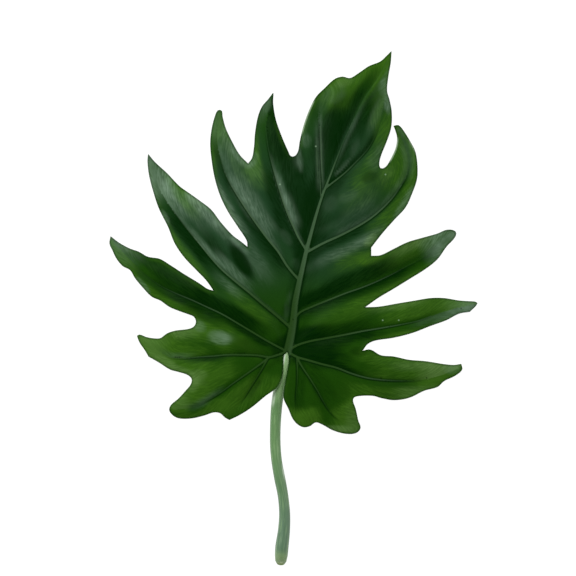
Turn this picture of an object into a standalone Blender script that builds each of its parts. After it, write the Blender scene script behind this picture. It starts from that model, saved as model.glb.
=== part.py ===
"""A cut philodendron leaf lying face up: a deeply lobed blade and the stalk that carries it.

Metres, +Z up. The middle lobe points along +Y and the upper face looks along +Z. The origin
is the centre of the leaf's box, on the surface that it lies on. Plan points are in millimetres
from the junction, where the stalk meets the blade and the main veins part.
"""
import math

import bpy
import numpy as np
from mathutils import Vector
from mathutils.geometry import delaunay_2d_cdt

MM = 0.001

# Where the junction lies, and how high the upper face is there.
JUNCTION = (-3.55, -26.2)
JUNCTION_HEIGHT = 13.4

# Every lobe droops towards its tip, and arches highest a little before the middle.
DROOP_POWER = 2.2
ARCH_POWER = 0.85

# The blade's flesh, and how far the tissue between two veins stands above them.
BLADE_THICKNESS = 0.8
CUSHION_HEIGHT = 3.3
CUSHION_REACH = 7.0
VEIN_FADE = 0.75

# A vein is a fine raised line above and a rib below. Both slim towards the tip, and the ribs
# begin where the stalk's end stops.
VEIN_LINE_HEIGHT = 0.25
VEIN_TAPER = 0.8
RIB_START = 5.8
RIB_RISE = 3.0

# The margin turns down a little and waves, but not beside the junction.
MARGIN_TURN = 1.1
MARGIN_TURN_REACH = 3.5
MARGIN_WAVE = 1.0
MARGIN_WAVE_REACH = 8.0
MARGIN_WAVE_LENGTH = 35.0
MARGIN_WAVE_DRIFT = 1.6
MARGIN_DRIFT_LENGTH = 58.0
CALM_REACH = 12.0
CALM_RISE = 30.0

# The margin's two edges stay crisp where they turn more than this.
MARGIN_SHARPNESS = math.radians(40)

# How softly the ends of two lobes come down to lie flat on the surface.
LAY_DOWN_BEND = 1.5

# Spacing of the points that carry the blade's surface.
MARGIN_STEP = 3.0
VEIN_STEP = 4.5
FIELD_STEP = 5.6
FIELD_GAP = 3.4
HEM = 2.8
HEM_GAP = 2.4
RIB_GAP = 0.9
SAME_POINT = 0.02
CURVE_FINENESS = 16

# The stalk runs under the junction and down to the surface, where only its cut end rests.
STALK_RADIUS = 3.25
STALK_STEP = 3.0

# The margin, clockwise from the junction. Each stretch is one smooth curve from the end of
# the stretch before it, and stretches meet at a point or a corner.
MARGIN = {
    "slot, left side": [
        (-2.3, -1.8), (-2.8, -6.3), (-3.1, -12.3), (-4.5, -17.7), (-7.5, -22.2), (-13, -26.1),
        (-21.3, -33), (-28.5, -37.7), (-34.8, -40.8)],
    "left basal lobe": [
        (-37.5, -39.3), (-40.2, -36.8), (-44.1, -36.3), (-50.1, -38.3), (-57.3, -40),
        (-64.5, -40.1), (-68.1, -38.7), (-70.8, -35.4), (-69.9, -32.6), (-64.5, -28.8),
        (-60.3, -23.7), (-57.3, -19.8), (-57.1, -16.2), (-59.7, -13.7), (-65.7, -11.9),
        (-70.5, -10.5), (-77.1, -6.9), (-83.2, -3.3)],
    "left low lobe, end": [(-85.5, 1.2), (-88.5, 5.7), (-90, 9)],
    "left low lobe, upper edge, and left middle lobe, lower edge": [
        (-88.8, 10), (-84.9, 8.5), (-79.5, 7.7), (-75.9, 8), (-72, 10.8), (-66.9, 12.3),
        (-59.1, 13.1), (-55.6, 15.1), (-54.4, 18.3), (-55.8, 21.2), (-58.8, 22.5), (-63.9, 24.3),
        (-70.5, 27), (-75.9, 30.7), (-81.3, 32.7), (-86.7, 37.8), (-91.2, 44.1), (-94.2, 48.9),
        (-98.7, 51.3), (-102.6, 55.8), (-105.1, 60.9), (-106.9, 64.8), (-106.3, 69)],
    "left middle lobe, upper edge": [
        (-101.1, 65.1), (-94.5, 61.6), (-89.1, 59.7), (-83.7, 56.7), (-76.5, 55.4), (-70.5, 51.9),
        (-62.1, 46), (-52.5, 40.1), (-47.4, 36.9), (-44.3, 36.7)],
    "left high lobe, lower edge": [
        (-48.9, 42.3), (-54.9, 49.2), (-62.1, 56.7), (-67.2, 64.8), (-71.4, 74.7), (-77.1, 86.1),
        (-80.4, 96.3), (-82.8, 105.9), (-84.1, 114.3), (-83.8, 118.2)],
    "left high lobe, upper edge": [
        (-80.1, 114), (-72.9, 107.4), (-65.1, 99.6), (-58.5, 95.1), (-52.5, 90.6), (-45.9, 85),
        (-39.9, 77.2), (-32.7, 69.3), (-27.9, 65.7), (-23.5, 61.8)],
    "left top lobe": [
        (-24.1, 66.3), (-29.1, 74.1), (-35.7, 84.3), (-40.2, 93.6), (-43.5, 104.4),
        (-45.5, 116.1), (-46.2, 125.1), (-45.3, 133.8), (-43.4, 141.3), (-41.7, 144.7),
        (-39.6, 144.5), (-39.1, 141), (-36.9, 133.8), (-32.7, 125.4), (-28.2, 117.6),
        (-23.5, 112.7)],
    "left crown lobe, left edge": [
        (-21.1, 115.5), (-19.9, 122.1), (-19.3, 130.5), (-17.7, 140.1), (-15, 146.4),
        (-11.1, 150.6), (-8.5, 155)],
    "left crown lobe, right edge, and crown, left edge": [
        (-8.7, 148.5), (-6.9, 138.9), (-3.3, 129), (0.5, 119.7), (2.1, 117.1), (4.5, 116.7),
        (6.5, 119.7), (7.5, 125.7), (9.9, 135.6), (13.2, 144.6), (17.1, 152.2), (22.5, 157.8),
        (28.5, 163.3), (33, 165.1), (37.5, 164.2), (42.9, 166.9), (48.9, 171), (55.8, 174),
        (59.4, 177.3), (62.4, 180.3)],
    "crown, right edge": [
        (61.9, 173.7), (60.3, 164.7), (59.9, 156.3), (61.4, 150.9), (62.3, 143.7), (62, 134.7),
        (59.4, 126.3), (56, 117.9), (54.7, 112.8), (55.5, 109.5), (58.8, 110.4), (62.4, 116.1),
        (65.1, 122.4), (65.8, 128.1), (64.7, 132.6), (63.7, 135.1)],
    "right top lobe, outer edge": [
        (66.5, 135.5), (69.9, 131.7), (73.8, 125.4), (76.7, 120.3), (78, 112.5), (77.5, 103.5),
        (74.4, 94.5), (70.5, 86.4), (63.9, 79.2), (56.7, 71.1), (49.7, 62.2)],
    "right top notch": [(49.7, 57.1)],
    "right high lobe": [
        (55.5, 57.8), (63.3, 61.2), (71.7, 65.3), (81.3, 68.2), (90.3, 71.2), (96.3, 73.1),
        (100.7, 71.9), (100.5, 68.7), (95.7, 63), (90.3, 56.1), (83.1, 49.9), (73.5, 43.5),
        (63.9, 37.7), (54.3, 32.1), (47, 26.9)],
    "right middle lobe, upper edge": [
        (54.3, 26.8), (65.1, 28.6), (75.9, 30.4), (85.5, 32.2), (93.9, 32.1), (103.5, 29.8),
        (111.9, 29.9)],
    "right middle lobe, end": [(114.2, 29), (109.5, 23.9)],
    "right middle lobe, lower edge": [
        (102.9, 23.3), (95.1, 19.3), (85.5, 15.5), (74.7, 11.1), (62.7, 8.2), (52.2, 6.9),
        (48, 4.5), (45.2, 0.9)],
    "right low lobe, upper edge": [
        (49.2, 1.3), (55.5, -2.1), (63.3, -2.9), (72.3, -4.9), (82.5, -5.8), (94.5, -7.8),
        (104.5, -7.7)],
    "right low and basal lobes, and slot, right side": [
        (105, -11.1), (100.5, -14.7), (93.9, -17.7), (90, -21.1), (81.9, -23.3), (72.9, -27.5),
        (63.9, -28.9), (56.1, -27.9), (50.7, -26.5), (40.8, -26.7), (39.3, -28.8), (41.1, -34.5),
        (42.7, -41.4), (43.7, -45.9), (41.1, -48.8), (35.1, -49.2), (27.3, -47.1), (20.7, -43.5),
        (16.8, -42.3), (13.2, -44.7), (8.7, -45), (3.9, -41.1), (0.6, -33.9), (-2.2, -27.6),
        (-1.6, -20.1), (0, -11.7), (1, -4.2), (0, 0)],
}

# Each main vein: the width and depth of its rib underneath where it starts, and its path.
VEINS = {
    "midrib": (4.4, 2.6, [
        (0, 0), (2.4, 8.1), (4.2, 17.7), (6, 28.5), (7.8, 38.1), (9.9, 48.9), (12.2, 59.7),
        (15, 69.9), (18, 81.9), (21.3, 93.3), (26.1, 104.1), (30.6, 114.3), (34.8, 125.1),
        (39.6, 135.6), (43.8, 144.9), (48, 152.7), (53.7, 162.3), (58.5, 171.3), (61.4, 177)]),
    "crown, left": (1.6, 0.8, [
        (20.4, 91.5), (19.8, 104.1), (19.3, 114.9), (19.2, 125.1), (19.8, 136.5), (21.9, 147.3),
        (24.9, 154.5)]),
    "crown, right": (1.6, 0.8, [
        (24, 99.3), (29.7, 104.4), (36.3, 110.7), (42.3, 116.4), (47.7, 123), (51.9, 131.1),
        (54.9, 140.1), (56.7, 149.1)]),
    "left crown lobe": (2.4, 1.4, [
        (12.3, 60.3), (7.5, 68.1), (4.5, 74.7), (0.9, 83.7), (-2.1, 92.1), (-5.7, 104.1),
        (-9.3, 114.9), (-12, 124.5), (-12.9, 134.7), (-11.1, 144.9), (-9.3, 151.5)]),
    "left top lobe": (2.8, 1.7, [
        (8.6, 42.3), (0.9, 50.7), (-5.7, 59.7), (-12, 67.2), (-18.9, 75.6), (-25.5, 85.2),
        (-32.1, 96.9), (-36.9, 105.9), (-40.8, 117.9), (-42.6, 128.7), (-41.7, 138.9),
        (-40.9, 142.5)]),
    "left high lobe": (3.0, 1.8, [
        (3.3, 12.9), (-6.9, 21.9), (-15.3, 29.1), (-23.1, 35.7), (-31.5, 42.3), (-39.3, 48.9),
        (-46.5, 56.1), (-52.5, 63.3), (-58.5, 71.1), (-64.5, 78.3), (-70.5, 85.5), (-75.3, 93),
        (-79.5, 102.9), (-82.6, 113)]),
    "left middle lobe": (3.0, 1.8, [
        (0, 0), (-11.7, 6.3), (-20.7, 12.3), (-29.7, 17.4), (-39.3, 22.5), (-48.3, 26.7),
        (-57.9, 30.9), (-66.9, 35.1), (-76.5, 39.9), (-86.7, 47.7), (-96.3, 56.7),
        (-104, 65.4)]),
    "left low lobe": (3.0, 1.8, [
        (0, 0), (-6.3, -2), (-10.8, -3.5), (-17.7, -2.5), (-26.7, -2), (-35.7, -2),
        (-44.7, -3), (-53.7, -3.8), (-62.7, -4.7), (-70.5, -3.6), (-78.9, 1.5), (-86.4, 7)]),
    "left basal lobe": (2.6, 1.5, [
        (-10.8, -3.5), (-17.7, -8.7), (-24.9, -13.8), (-32.1, -19.5), (-39.3, -24.9),
        (-47.1, -30), (-55.5, -33.3), (-63.9, -34.8), (-68.4, -34.6)]),
    "left basal tooth": (1.6, 0.8, [
        (-12, -4.4), (-16.5, -12.3), (-21.3, -20.1), (-26.1, -27.9), (-30.9, -34.5),
        (-33.6, -38.4)]),
    "right top lobe": (2.8, 1.7, [
        (12.2, 58.8), (21.9, 64.2), (31.5, 68.7), (41.7, 73.8), (50.1, 78.9), (57.3, 84.9),
        (63.3, 91.5), (68.1, 98.1), (71.7, 105.3), (72.7, 113.7), (70.8, 122.7),
        (66.9, 131.1)]),
    "right high lobe": (3.0, 1.8, [
        (4.2, 17.7), (7.2, 22.8), (14.7, 26.4), (25.5, 30.6), (35.1, 34.2), (44.7, 37.5),
        (54.3, 41.4), (63.9, 45.9), (73.5, 51), (82.5, 56.1), (90.9, 62.7), (98.1, 69.6)]),
    "right middle lobe": (3.0, 1.8, [
        (0, 0), (5.1, 3.6), (12.3, 5.8), (21.9, 7.6), (32.7, 9.7), (44.1, 11.8), (55.5, 14.1),
        (67.5, 16.1), (79.5, 18.9), (91.5, 22.5), (102.3, 25.8), (110.1, 27.6)]),
    "right low lobe": (3.0, 1.8, [
        (0, 0), (5.4, -3), (12.3, -5.4), (20.7, -7.4), (29.1, -9.6), (38.1, -12.9),
        (47.1, -15.9), (56.1, -17.4), (67.5, -18), (79.5, -17.3), (91.5, -14.7),
        (102, -10.5)]),
    "right basal lobe": (2.6, 1.5, [
        (5.4, -3), (9.3, -8.7), (14.1, -15.9), (18.6, -22.8), (22.5, -29.7), (26.7, -36.3),
        (32.1, -42), (39.3, -46.2)]),
    "right basal tooth": (1.6, 0.8, [
        (5.6, -3.8), (5.9, -11.1), (5.7, -19.5), (5, -27.9), (5.7, -35.7), (8.1, -42.4)]),
}

# How each lobe lies, round from the slot's right side: the direction of its tip in degrees
# from +X, its reach from the junction, its tip's height, and how far it arches on the way.
LOBES = [
    (-90, 44, 9.0, 0.6),
    (-78.7, 46, 8.6, 0.6),
    (-48, 64, 5.5, 3.0),
    (-5, 105, 3.0, 6.5),
    (13.6, 116, 2.0, 7.0),
    (35, 121, -7.0, 8.5),
    (58, 146, 6.0, 6.5),
    (71, 190, 4.5, 7.5),
    (93, 156, 9.0, 6.0),
    (105.8, 151, 6.5, 6.0),
    (125.3, 145, -9.0, 8.5),
    (147.6, 127, 2.4, 7.5),
    (174.3, 92, 3.5, 5.5),
    (206, 80, 5.0, 4.0),
    (229.5, 54, 8.0, 1.2),
    (270, 44, 9.0, 0.6),
]

# The stalk's middle line, from under the junction to the cut end: plan point, height of the
# stalk's underside, and how thick it is there beside its usual radius.
STALK = [
    (1.6, 5.2, 8.3, 0.62), (0.9, 2.6, 6.75, 0.86), (0, -1, 5.95, 0.98), (-0.7, -6.3, 5.65, 1),
    (-1.8, -12.9, 5.0, 1), (-3.9, -19.5, 4.2, 1.02), (-5.4, -26.7, 3.4, 1.04),
    (-6.5, -35.1, 2.7, 1.02), (-7.1, -45.9, 2.2, 0.97), (-7.1, -56.1, 1.8, 0.96),
    (-6.4, -65.7, 1.5, 0.97), (-4.6, -76.5, 1.2, 1.03), (-2.7, -86.7, 0.9, 0.98),
    (-1.7, -97.5, 0.6, 1.02), (-2.1, -107.7, 0.3, 1.12), (-3.3, -117.3, 0.02, 1.23),
    (-3.7, -122.6, 0.02, 1.2),
]
CUT_END = [(-4.0, -126.2, 0.5, 1.04), (-4.1, -127.7, 1.5, 0.72)]


def smooth_curve(points, step):
    """Points about one step apart on a smooth curve through the given ones."""
    known = np.array(points, float)
    if len(known) == 2:
        count = max(1, round(np.linalg.norm(known[1] - known[0]) / step))
        return known[0] + (known[1] - known[0]) * np.linspace(0, 1, count + 1)[:, None]
    padded = np.vstack([2 * known[0] - known[1], known, 2 * known[-1] - known[-2]])
    fine = []
    for before, start, end, after in zip(padded, padded[1:], padded[2:], padded[3:]):
        span = np.linalg.norm(end - start)
        slope_in = (end - before) / np.linalg.norm(end - before) * span
        slope_out = (after - start) / np.linalg.norm(after - start) * span
        t = np.linspace(0, 1, CURVE_FINENESS, endpoint=False)[:, None]
        rise = 3 * t ** 2 - 2 * t ** 3
        fine.append(start * (1 - rise) + end * rise + slope_in * t * (1 - t) ** 2
                    + slope_out * t ** 2 * (t - 1))
    fine = np.vstack(fine + [known[-1:]])
    along = np.concatenate([[0], np.cumsum(np.linalg.norm(np.diff(fine, axis=0), axis=1))])
    count = max(2, round(along[-1] / step))
    wanted = np.linspace(0, along[-1], count + 1)
    return np.column_stack([np.interp(wanted, along, fine[:, axis])
                            for axis in range(known.shape[1])])


def margin_points(step):
    """The whole margin as one closed ring of plan points."""
    ring = []
    corner = (0, 0)
    for stretch in MARGIN.values():
        curve = smooth_curve([corner] + stretch, step)
        ring.extend(curve[1:])
        corner = stretch[-1]
    return np.array(ring)


def nearest_on_line(plan, line):
    """Distance of each plan point from a line, and how far along the line, from 0 to 1."""
    lengths = np.linalg.norm(np.diff(line, axis=0), axis=1)
    starts = np.concatenate([[0], np.cumsum(lengths)])
    distance = np.full(len(plan), np.inf)
    along = np.zeros(len(plan))
    for start, end, length, begun in zip(line, line[1:], lengths, starts):
        t = np.clip((plan - start) @ (end - start) / length ** 2, 0, 1)
        away = np.linalg.norm(plan - start - t[:, None] * (end - start), axis=1)
        closer = away < distance
        distance[closer] = away[closer]
        along[closer] = (begun + t[closer] * length) / starts[-1]
    return distance, along


def lie_of_lobes(plan):
    """Height of the blade without its veins: each lobe arches from the junction to its tip."""
    lobes = np.array(LOBES, float)
    direction = np.degrees(np.arctan2(plan[:, 1], plan[:, 0]))
    direction = np.where(direction < lobes[0, 0], direction + 360, direction)
    place = np.interp(direction, lobes[:, 0], np.arange(len(lobes)))
    before = np.clip(place.astype(int), 0, len(lobes) - 2)
    t = place - before
    blend = (t * t * (3 - 2 * t))[:, None]
    reach, tip, arch = (lobes[before, 1:] * (1 - blend) + lobes[before + 1, 1:] * blend).T
    out = np.linalg.norm(plan, axis=1) / reach
    droop = out ** DROOP_POWER
    return JUNCTION_HEIGHT * (1 - droop) + tip * droop + arch * np.sin(math.pi * out ** ARCH_POWER)


def laid_down(height):
    """Heights bent up to the surface that the leaf lies on, where they would pass below it."""
    bent = (height + LAY_DOWN_BEND) ** 2 / (4 * LAY_DOWN_BEND)
    return np.where(height > LAY_DOWN_BEND, height, np.where(height < -LAY_DOWN_BEND, 0, bent))


def blade_surfaces(plan, margin, veins):
    """Heights of the upper and lower faces over plan points, in millimetres."""
    cushion = np.ones(len(plan))
    rib = np.zeros(len(plan))
    line = np.zeros(len(plan))
    from_junction = np.linalg.norm(plan, axis=1)
    for name, path in veins.items():
        width, depth, _ = VEINS[name]
        away, along = nearest_on_line(plan, path)
        cushion *= 1 - (1 - VEIN_FADE * along ** 4) * np.exp(-away / CUSHION_REACH)
        slim = 1 - VEIN_TAPER * along
        across = np.clip(away / (width / 2 * slim), 0, 1)
        rib = np.maximum(rib, depth * slim * np.sqrt(1 - across ** 2))
        line = np.maximum(line, VEIN_LINE_HEIGHT * slim * (1 - across))
    rib *= np.clip((from_junction - RIB_START) / RIB_RISE, 0, 1)
    edge, _ = nearest_on_line(plan, np.vstack([margin, margin[:1]]))
    drift = MARGIN_WAVE_DRIFT * np.sin(2 * math.pi * plan[:, 1] / MARGIN_DRIFT_LENGTH)
    wave = np.sin(2 * math.pi * plan[:, 0] / MARGIN_WAVE_LENGTH + drift)
    lift = MARGIN_WAVE * wave * np.exp(-edge / MARGIN_WAVE_REACH)
    lift -= MARGIN_TURN * np.exp(-edge / MARGIN_TURN_REACH)
    free = np.clip((from_junction - CALM_REACH) / CALM_RISE, 0, 1)
    upper = lie_of_lobes(plan) + CUSHION_HEIGHT * cushion + line + lift * free
    lower = laid_down(upper - BLADE_THICKNESS - rib)
    return np.maximum(upper, lower + BLADE_THICKNESS), lower


def inside(plan, ring):
    """Which plan points lie inside a closed ring."""
    within = np.zeros(len(plan), bool)
    for (x1, y1), (x2, y2) in zip(ring, np.roll(ring, -1, axis=0)):
        spans = (y1 > plan[:, 1]) != (y2 > plan[:, 1])
        if y1 != y2:
            crossing = x1 + (plan[:, 1] - y1) * (x2 - x1) / (y2 - y1)
            within ^= spans & (plan[:, 0] < crossing)
    return within


def vein_sides(path, width):
    """Plan points along both feet of a vein's rib."""
    heading = np.gradient(path, axis=0)
    heading /= np.linalg.norm(heading, axis=1)[:, None]
    across = np.column_stack([-heading[:, 1], heading[:, 0]])
    foot = across * width / 2 * (1 - VEIN_TAPER * np.linspace(0, 1, len(path))[:, None])
    return np.vstack([path + foot, path - foot])


def hem_points(margin):
    """Plan points just inside the margin, where it turns down."""
    heading = np.roll(margin, -1, axis=0) - np.roll(margin, 1, axis=0)
    heading /= np.linalg.norm(heading, axis=1)[:, None]
    hem = margin + HEM * np.column_stack([heading[:, 1], -heading[:, 0]])
    edge, _ = nearest_on_line(hem, np.vstack([margin, margin[:1]]))
    return hem[inside(hem, margin) & (edge > HEM_GAP)]


def field_points(margin):
    """An even triangular field of plan points over the blade."""
    low, high = margin.min(axis=0), margin.max(axis=0)
    rows = np.arange(low[1], high[1], FIELD_STEP * math.sqrt(3) / 2)
    points = []
    for number, y in enumerate(rows):
        shift = FIELD_STEP / 2 * (number % 2)
        points.extend((x, y) for x in np.arange(low[0] + shift, high[0], FIELD_STEP))
    return np.array(points)


def keep_apart(candidates, kept, gap):
    """The candidates that lie at least a gap from every kept point and from each other."""
    chosen = list(kept)
    fresh = []
    for point in candidates:
        if np.min(np.linalg.norm(np.array(chosen) - point, axis=1)) >= gap:
            chosen.append(point)
            fresh.append(point)
    return np.array(fresh).reshape(-1, 2)


def blade_plan(margin, veins):
    """The plan triangles of the blade: they follow the margin and every main vein."""
    ring = [tuple(point) for point in margin]
    edges = [(i, (i + 1) % len(ring)) for i in range(len(ring))]
    points = list(ring)
    for path in veins.values():
        first = len(points)
        points.extend(tuple(point) for point in path)
        edges.extend((i, i + 1) for i in range(first, len(points) - 1))
    for name, path in veins.items():
        feet = vein_sides(path[1:], VEINS[name][0])
        feet = feet[inside(feet, margin)]
        points.extend(tuple(point) for point in keep_apart(feet, points, RIB_GAP))
    points.extend(tuple(point) for point in keep_apart(hem_points(margin), points, HEM_GAP))
    field = field_points(margin)
    field = field[inside(field, margin)]
    points.extend(tuple(point) for point in keep_apart(field, points, FIELD_GAP))
    verts, _, faces, *_ = delaunay_2d_cdt(
        [Vector(point) for point in points], edges, [list(range(len(ring)))], 1, SAME_POINT)
    return np.array([tuple(vert) for vert in verts]), [tuple(face) for face in faces]


def make_blade(material, collection):
    """The blade: two faces over the same plan triangles, closed along the margin."""
    margin = margin_points(MARGIN_STEP)
    veins = {name: smooth_curve(path, VEIN_STEP) for name, (_, _, path) in VEINS.items()}
    plan, faces = blade_plan(margin, veins)
    upper, lower = blade_surfaces(plan, margin, veins)
    count = len(plan)
    placed = plan + np.array(JUNCTION)
    verts = np.vstack([np.column_stack([placed, upper]), np.column_stack([placed, lower])]) * MM
    sides = set()
    for face in faces:
        for start, end in zip(face, face[1:] + face[:1]):
            if (end, start) in sides:
                sides.remove((end, start))
            else:
                sides.add((start, end))
    triangles = list(faces)
    triangles += [tuple(corner + count for corner in reversed(face)) for face in faces]
    for start, end in sorted(sides):
        triangles.append((start, start + count, end + count))
        triangles.append((start, end + count, end))
    mesh = bpy.data.meshes.new("blade")
    mesh.from_pydata([tuple(vert) for vert in verts], [], triangles)
    mesh.shade_smooth()
    mesh.set_sharp_from_angle(angle=MARGIN_SHARPNESS)
    mesh.materials.append(material)
    collection.objects.link(bpy.data.objects.new("blade", mesh))


def make_stalk(material, collection):
    """The stalk: a tube through its middle line, thinned under the junction, cut at its end."""
    line = smooth_curve(STALK, STALK_STEP)
    line = np.vstack([line, CUT_END])
    curve = bpy.data.curves.new("stalk", "CURVE")
    curve.dimensions = "3D"
    curve.bevel_depth = STALK_RADIUS * MM
    curve.bevel_resolution = 6
    curve.use_fill_caps = True
    curve.materials.append(material)
    spline = curve.splines.new("POLY")
    spline.points.add(len(line) - 1)
    for point, (x, y, underside, thickness) in zip(spline.points, line):
        middle = underside + STALK_RADIUS * thickness
        point.co = ((x + JUNCTION[0]) * MM, (y + JUNCTION[1]) * MM, middle * MM, 1)
        point.radius = thickness
    collection.objects.link(bpy.data.objects.new("stalk", curve))


def make_material(name, color, roughness):
    """A plain leaf-like surface."""
    material = bpy.data.materials.new(name)
    material.use_nodes = True
    shader = material.node_tree.nodes["Principled BSDF"]
    shader.inputs["Base Color"].default_value = (*color, 1)
    shader.inputs["Roughness"].default_value = roughness
    shader.inputs["Metallic"].default_value = 0
    return material


def main():
    for old in list(bpy.data.objects):
        bpy.data.objects.remove(old, do_unlink=True)
    collection = bpy.data.collections.new("philodendron leaf")
    bpy.context.scene.collection.children.link(collection)
    make_blade(make_material("leaf green", (0.02, 0.075, 0.02), 0.35), collection)
    make_stalk(make_material("stalk green", (0.2, 0.33, 0.16), 0.45), collection)


main()
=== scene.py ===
import math

import bmesh
import bpy
import numpy as np
from mathutils import Matrix, Vector


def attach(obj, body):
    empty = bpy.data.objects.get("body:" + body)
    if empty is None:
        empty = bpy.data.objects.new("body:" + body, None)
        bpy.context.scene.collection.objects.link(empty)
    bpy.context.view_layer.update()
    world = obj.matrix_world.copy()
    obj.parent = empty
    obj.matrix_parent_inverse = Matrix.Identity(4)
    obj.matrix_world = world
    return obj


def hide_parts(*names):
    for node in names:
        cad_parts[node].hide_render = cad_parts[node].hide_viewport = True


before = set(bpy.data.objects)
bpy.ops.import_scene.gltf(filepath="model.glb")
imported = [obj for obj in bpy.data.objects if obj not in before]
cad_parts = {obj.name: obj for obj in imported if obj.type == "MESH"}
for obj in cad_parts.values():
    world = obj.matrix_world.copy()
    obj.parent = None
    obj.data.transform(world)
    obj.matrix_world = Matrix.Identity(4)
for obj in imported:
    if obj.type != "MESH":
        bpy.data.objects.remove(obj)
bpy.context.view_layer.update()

# The leaf lies face up, its middle lobe towards +Y. Plan points and heights are in millimetres
# from the junction, where the stalk meets the blade and the main veins part.
MM = 0.001
JUNCTION = (-3.55, -26.2)
JUNCTION_HEIGHT = 13.4

# How the lobes arch and droop, and how the tissue stands between its veins.
DROOP_POWER = 2.2
ARCH_POWER = 0.85
BLADE_THICKNESS = 0.8
CUSHION_HEIGHT = 3.3
CUSHION_REACH = 7.0
VEIN_FADE = 0.75
VEIN_FADE_POWER = 4
VEIN_TAPER = 0.8
LINE_FADE = 0.8
MIDRIB_LINE_FADE = 2.1
LINE_LEAST = 0.1
RIB_START = 5.8
RIB_RISE = 3.0
LAY_DOWN_BEND = 1.5

# The margin turns down a little and waves, but not beside the junction.
MARGIN_TURN = 1.1
MARGIN_TURN_REACH = 3.5
MARGIN_WAVE = 1.0
MARGIN_WAVE_REACH = 8.0
MARGIN_WAVE_LENGTH = 35.0
MARGIN_WAVE_DRIFT = 1.6
MARGIN_DRIFT_LENGTH = 58.0
CALM_REACH = 12.0
CALM_RISE = 30.0

# Finer relief: the vein's line above stands in a furrow, and side veins leave it at a slant.
LINE_HEIGHT = 0.28
FURROW_DEPTH = 0.3
FURROW_REACH = 1.6
SIDE_VEIN_SPACING = 6.4
SIDE_VEIN_SLANT = 3.2
SIDE_VEIN_CURVE = 0.03
SIDE_VEIN_DEPTH = 0.1
SIDE_VEIN_NARROWNESS = 12
SIDE_RIB_HEIGHT = 0.16
SIDE_VEIN_START = 3.0
MEETING_REACH = 5.0

# The margin's own edge: thinner than the blade, and round.
EDGE_THICKNESS = 0.55
EDGE_REACH = 2.0
EDGE_ROUND = 0.2

# Fineness of the blade's mesh.
GRID_STEP = 1.25
OUTLINE_STEP = 1.4
LINE_STEP = 2.4
FOOT_LEAST = 0.5
CLEAR_OF_EDGES = 0.22
SLIVER = 0.2
CURVE_FINENESS = 16

# How far apart points may lie and still be one.
FLAT = 0.0001

# The stalk: it sinks a little into the blade under the junction, has fine ridges along it, and
# its cut end dips inside the skin. Each ring of the cut: how far inwards, and how deep.
STALK_RADIUS = 3.25
STALK_SIDES = 48
STALK_STEP = 1.6
NECK_LIFT = 0.5
NECK_SHARE = 0.12
FIBRES = 9
FIBRE_HEIGHT = 0.04
FIBRE_TURN = 2.2
CUT_RINGS = [(0.12, 0.02), (0.1, -0.25), (0.3, -0.05)]

# Colours, as linear red, green and blue.
# Deep green is the darkest tissue, and also the colour of the painted shade.
DEEP_GREEN = (0.001, 0.0145, 0.0008)
LEAF_GREEN = (0.0105, 0.052, 0.0022)
COOL_GREEN = (0.0115, 0.042, 0.0145)
YELLOW_GREEN = (0.043, 0.125, 0.009)
PALE_GREEN = (0.12, 0.225, 0.062)
# Painted sheen: the pale grey green laid where the waxy surface would catch the light.
PAINTED_SHEEN = (0.17, 0.27, 0.18)
VEIN_GREEN = (0.02, 0.057, 0.011)
VEIN_PALE = (0.046, 0.094, 0.042)
RIM_GREEN = (0.004, 0.02, 0.004)
RIM_PALE = (0.3, 0.4, 0.26)
SPECK_PALE = (0.3, 0.45, 0.28)
UNDER_GREEN = (0.07, 0.18, 0.04)
UNDER_PALE = (0.12, 0.24, 0.08)
RIB_GREEN = (0.2, 0.34, 0.12)
STALK_GREEN = (0.108, 0.232, 0.076)
STALK_GREY = (0.085, 0.165, 0.1)
STALK_PALE = (0.28, 0.44, 0.2)
STALK_DEEP = (0.06, 0.13, 0.055)
STALK_GLINT = (0.55, 0.66, 0.52)
CUT_GREEN = (0.32, 0.45, 0.18)

# How strongly the blade's lines, painted sheen lines, rims and specks show, how broken its
# dark and painted shade zones and yellow zones are, where a speck fades out in millimetres, and
# its sheen. Relief is in millimetres.
TWIN_SHEEN_STRENGTH = 0.62
RIM_STRENGTH = 0.42
ROLLED_STRENGTH = 0.75
SPECK_STRENGTH = 0.5
SPECK_FADE = (0.65, 0.3)
TONE_GRAIN = 2.5
BLADE_ROUGHNESS = 0.36
UNDER_ROUGHNESS = 0.22
BLADE_SPECULAR = 0.01
WAX_COAT = 0.25
COAT_ROUGHNESS = 0.42
STREAK_RELIEF = 0.06
GRAIN_RELIEF = 0.012

# Each glint on the stalk: where it starts and ends round the stalk, in radians from its left
# side over its top, and how softly, the same along it in shares of its length, and its strength.
GLINTS = [
    (0.4, 1.3, 0.2, 0.035, 0.1, 0.012, 1),
    (-4, 1.075, 0.175, 0.2, 0.29, 0.02, 0.55),
    (2.35, 2.95, 0.15, 0.57, 0.63, 0.02, 0.55),
]

# The studio, in metres and watts: the floor's profile turns up at the far edge, and each light
# has its azimuth, elevation, distance, size and power.
COVE = [(0, -0.0002), (2.2, -0.0002), (2.6, 0.06), (2.85, 0.3), (2.95, 0.9)]
COVE_SIDES = 96
FLOOR_GLOW = 1.0
FLOOR_GREY = 0.08
WORLD_GLOW = 0.02
KEY_LIGHT = (-130, 50, 1.3, 0.8, 17)
FILL_LIGHT = (100, 50, 1.4, 0.8, 7)

# The camera looks straight down. The view's width is 576 pixels of 0.6 mm, at the level of
# the blade's margins, and its middle is given from the leaf's origin, in millimetres.
VIEW_WIDTH = 345.6
VIEW_LEVEL = 8.0
VIEW_MIDDLE = (-3.25, 11.9)
LENS = 150
SENSOR = 36

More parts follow.
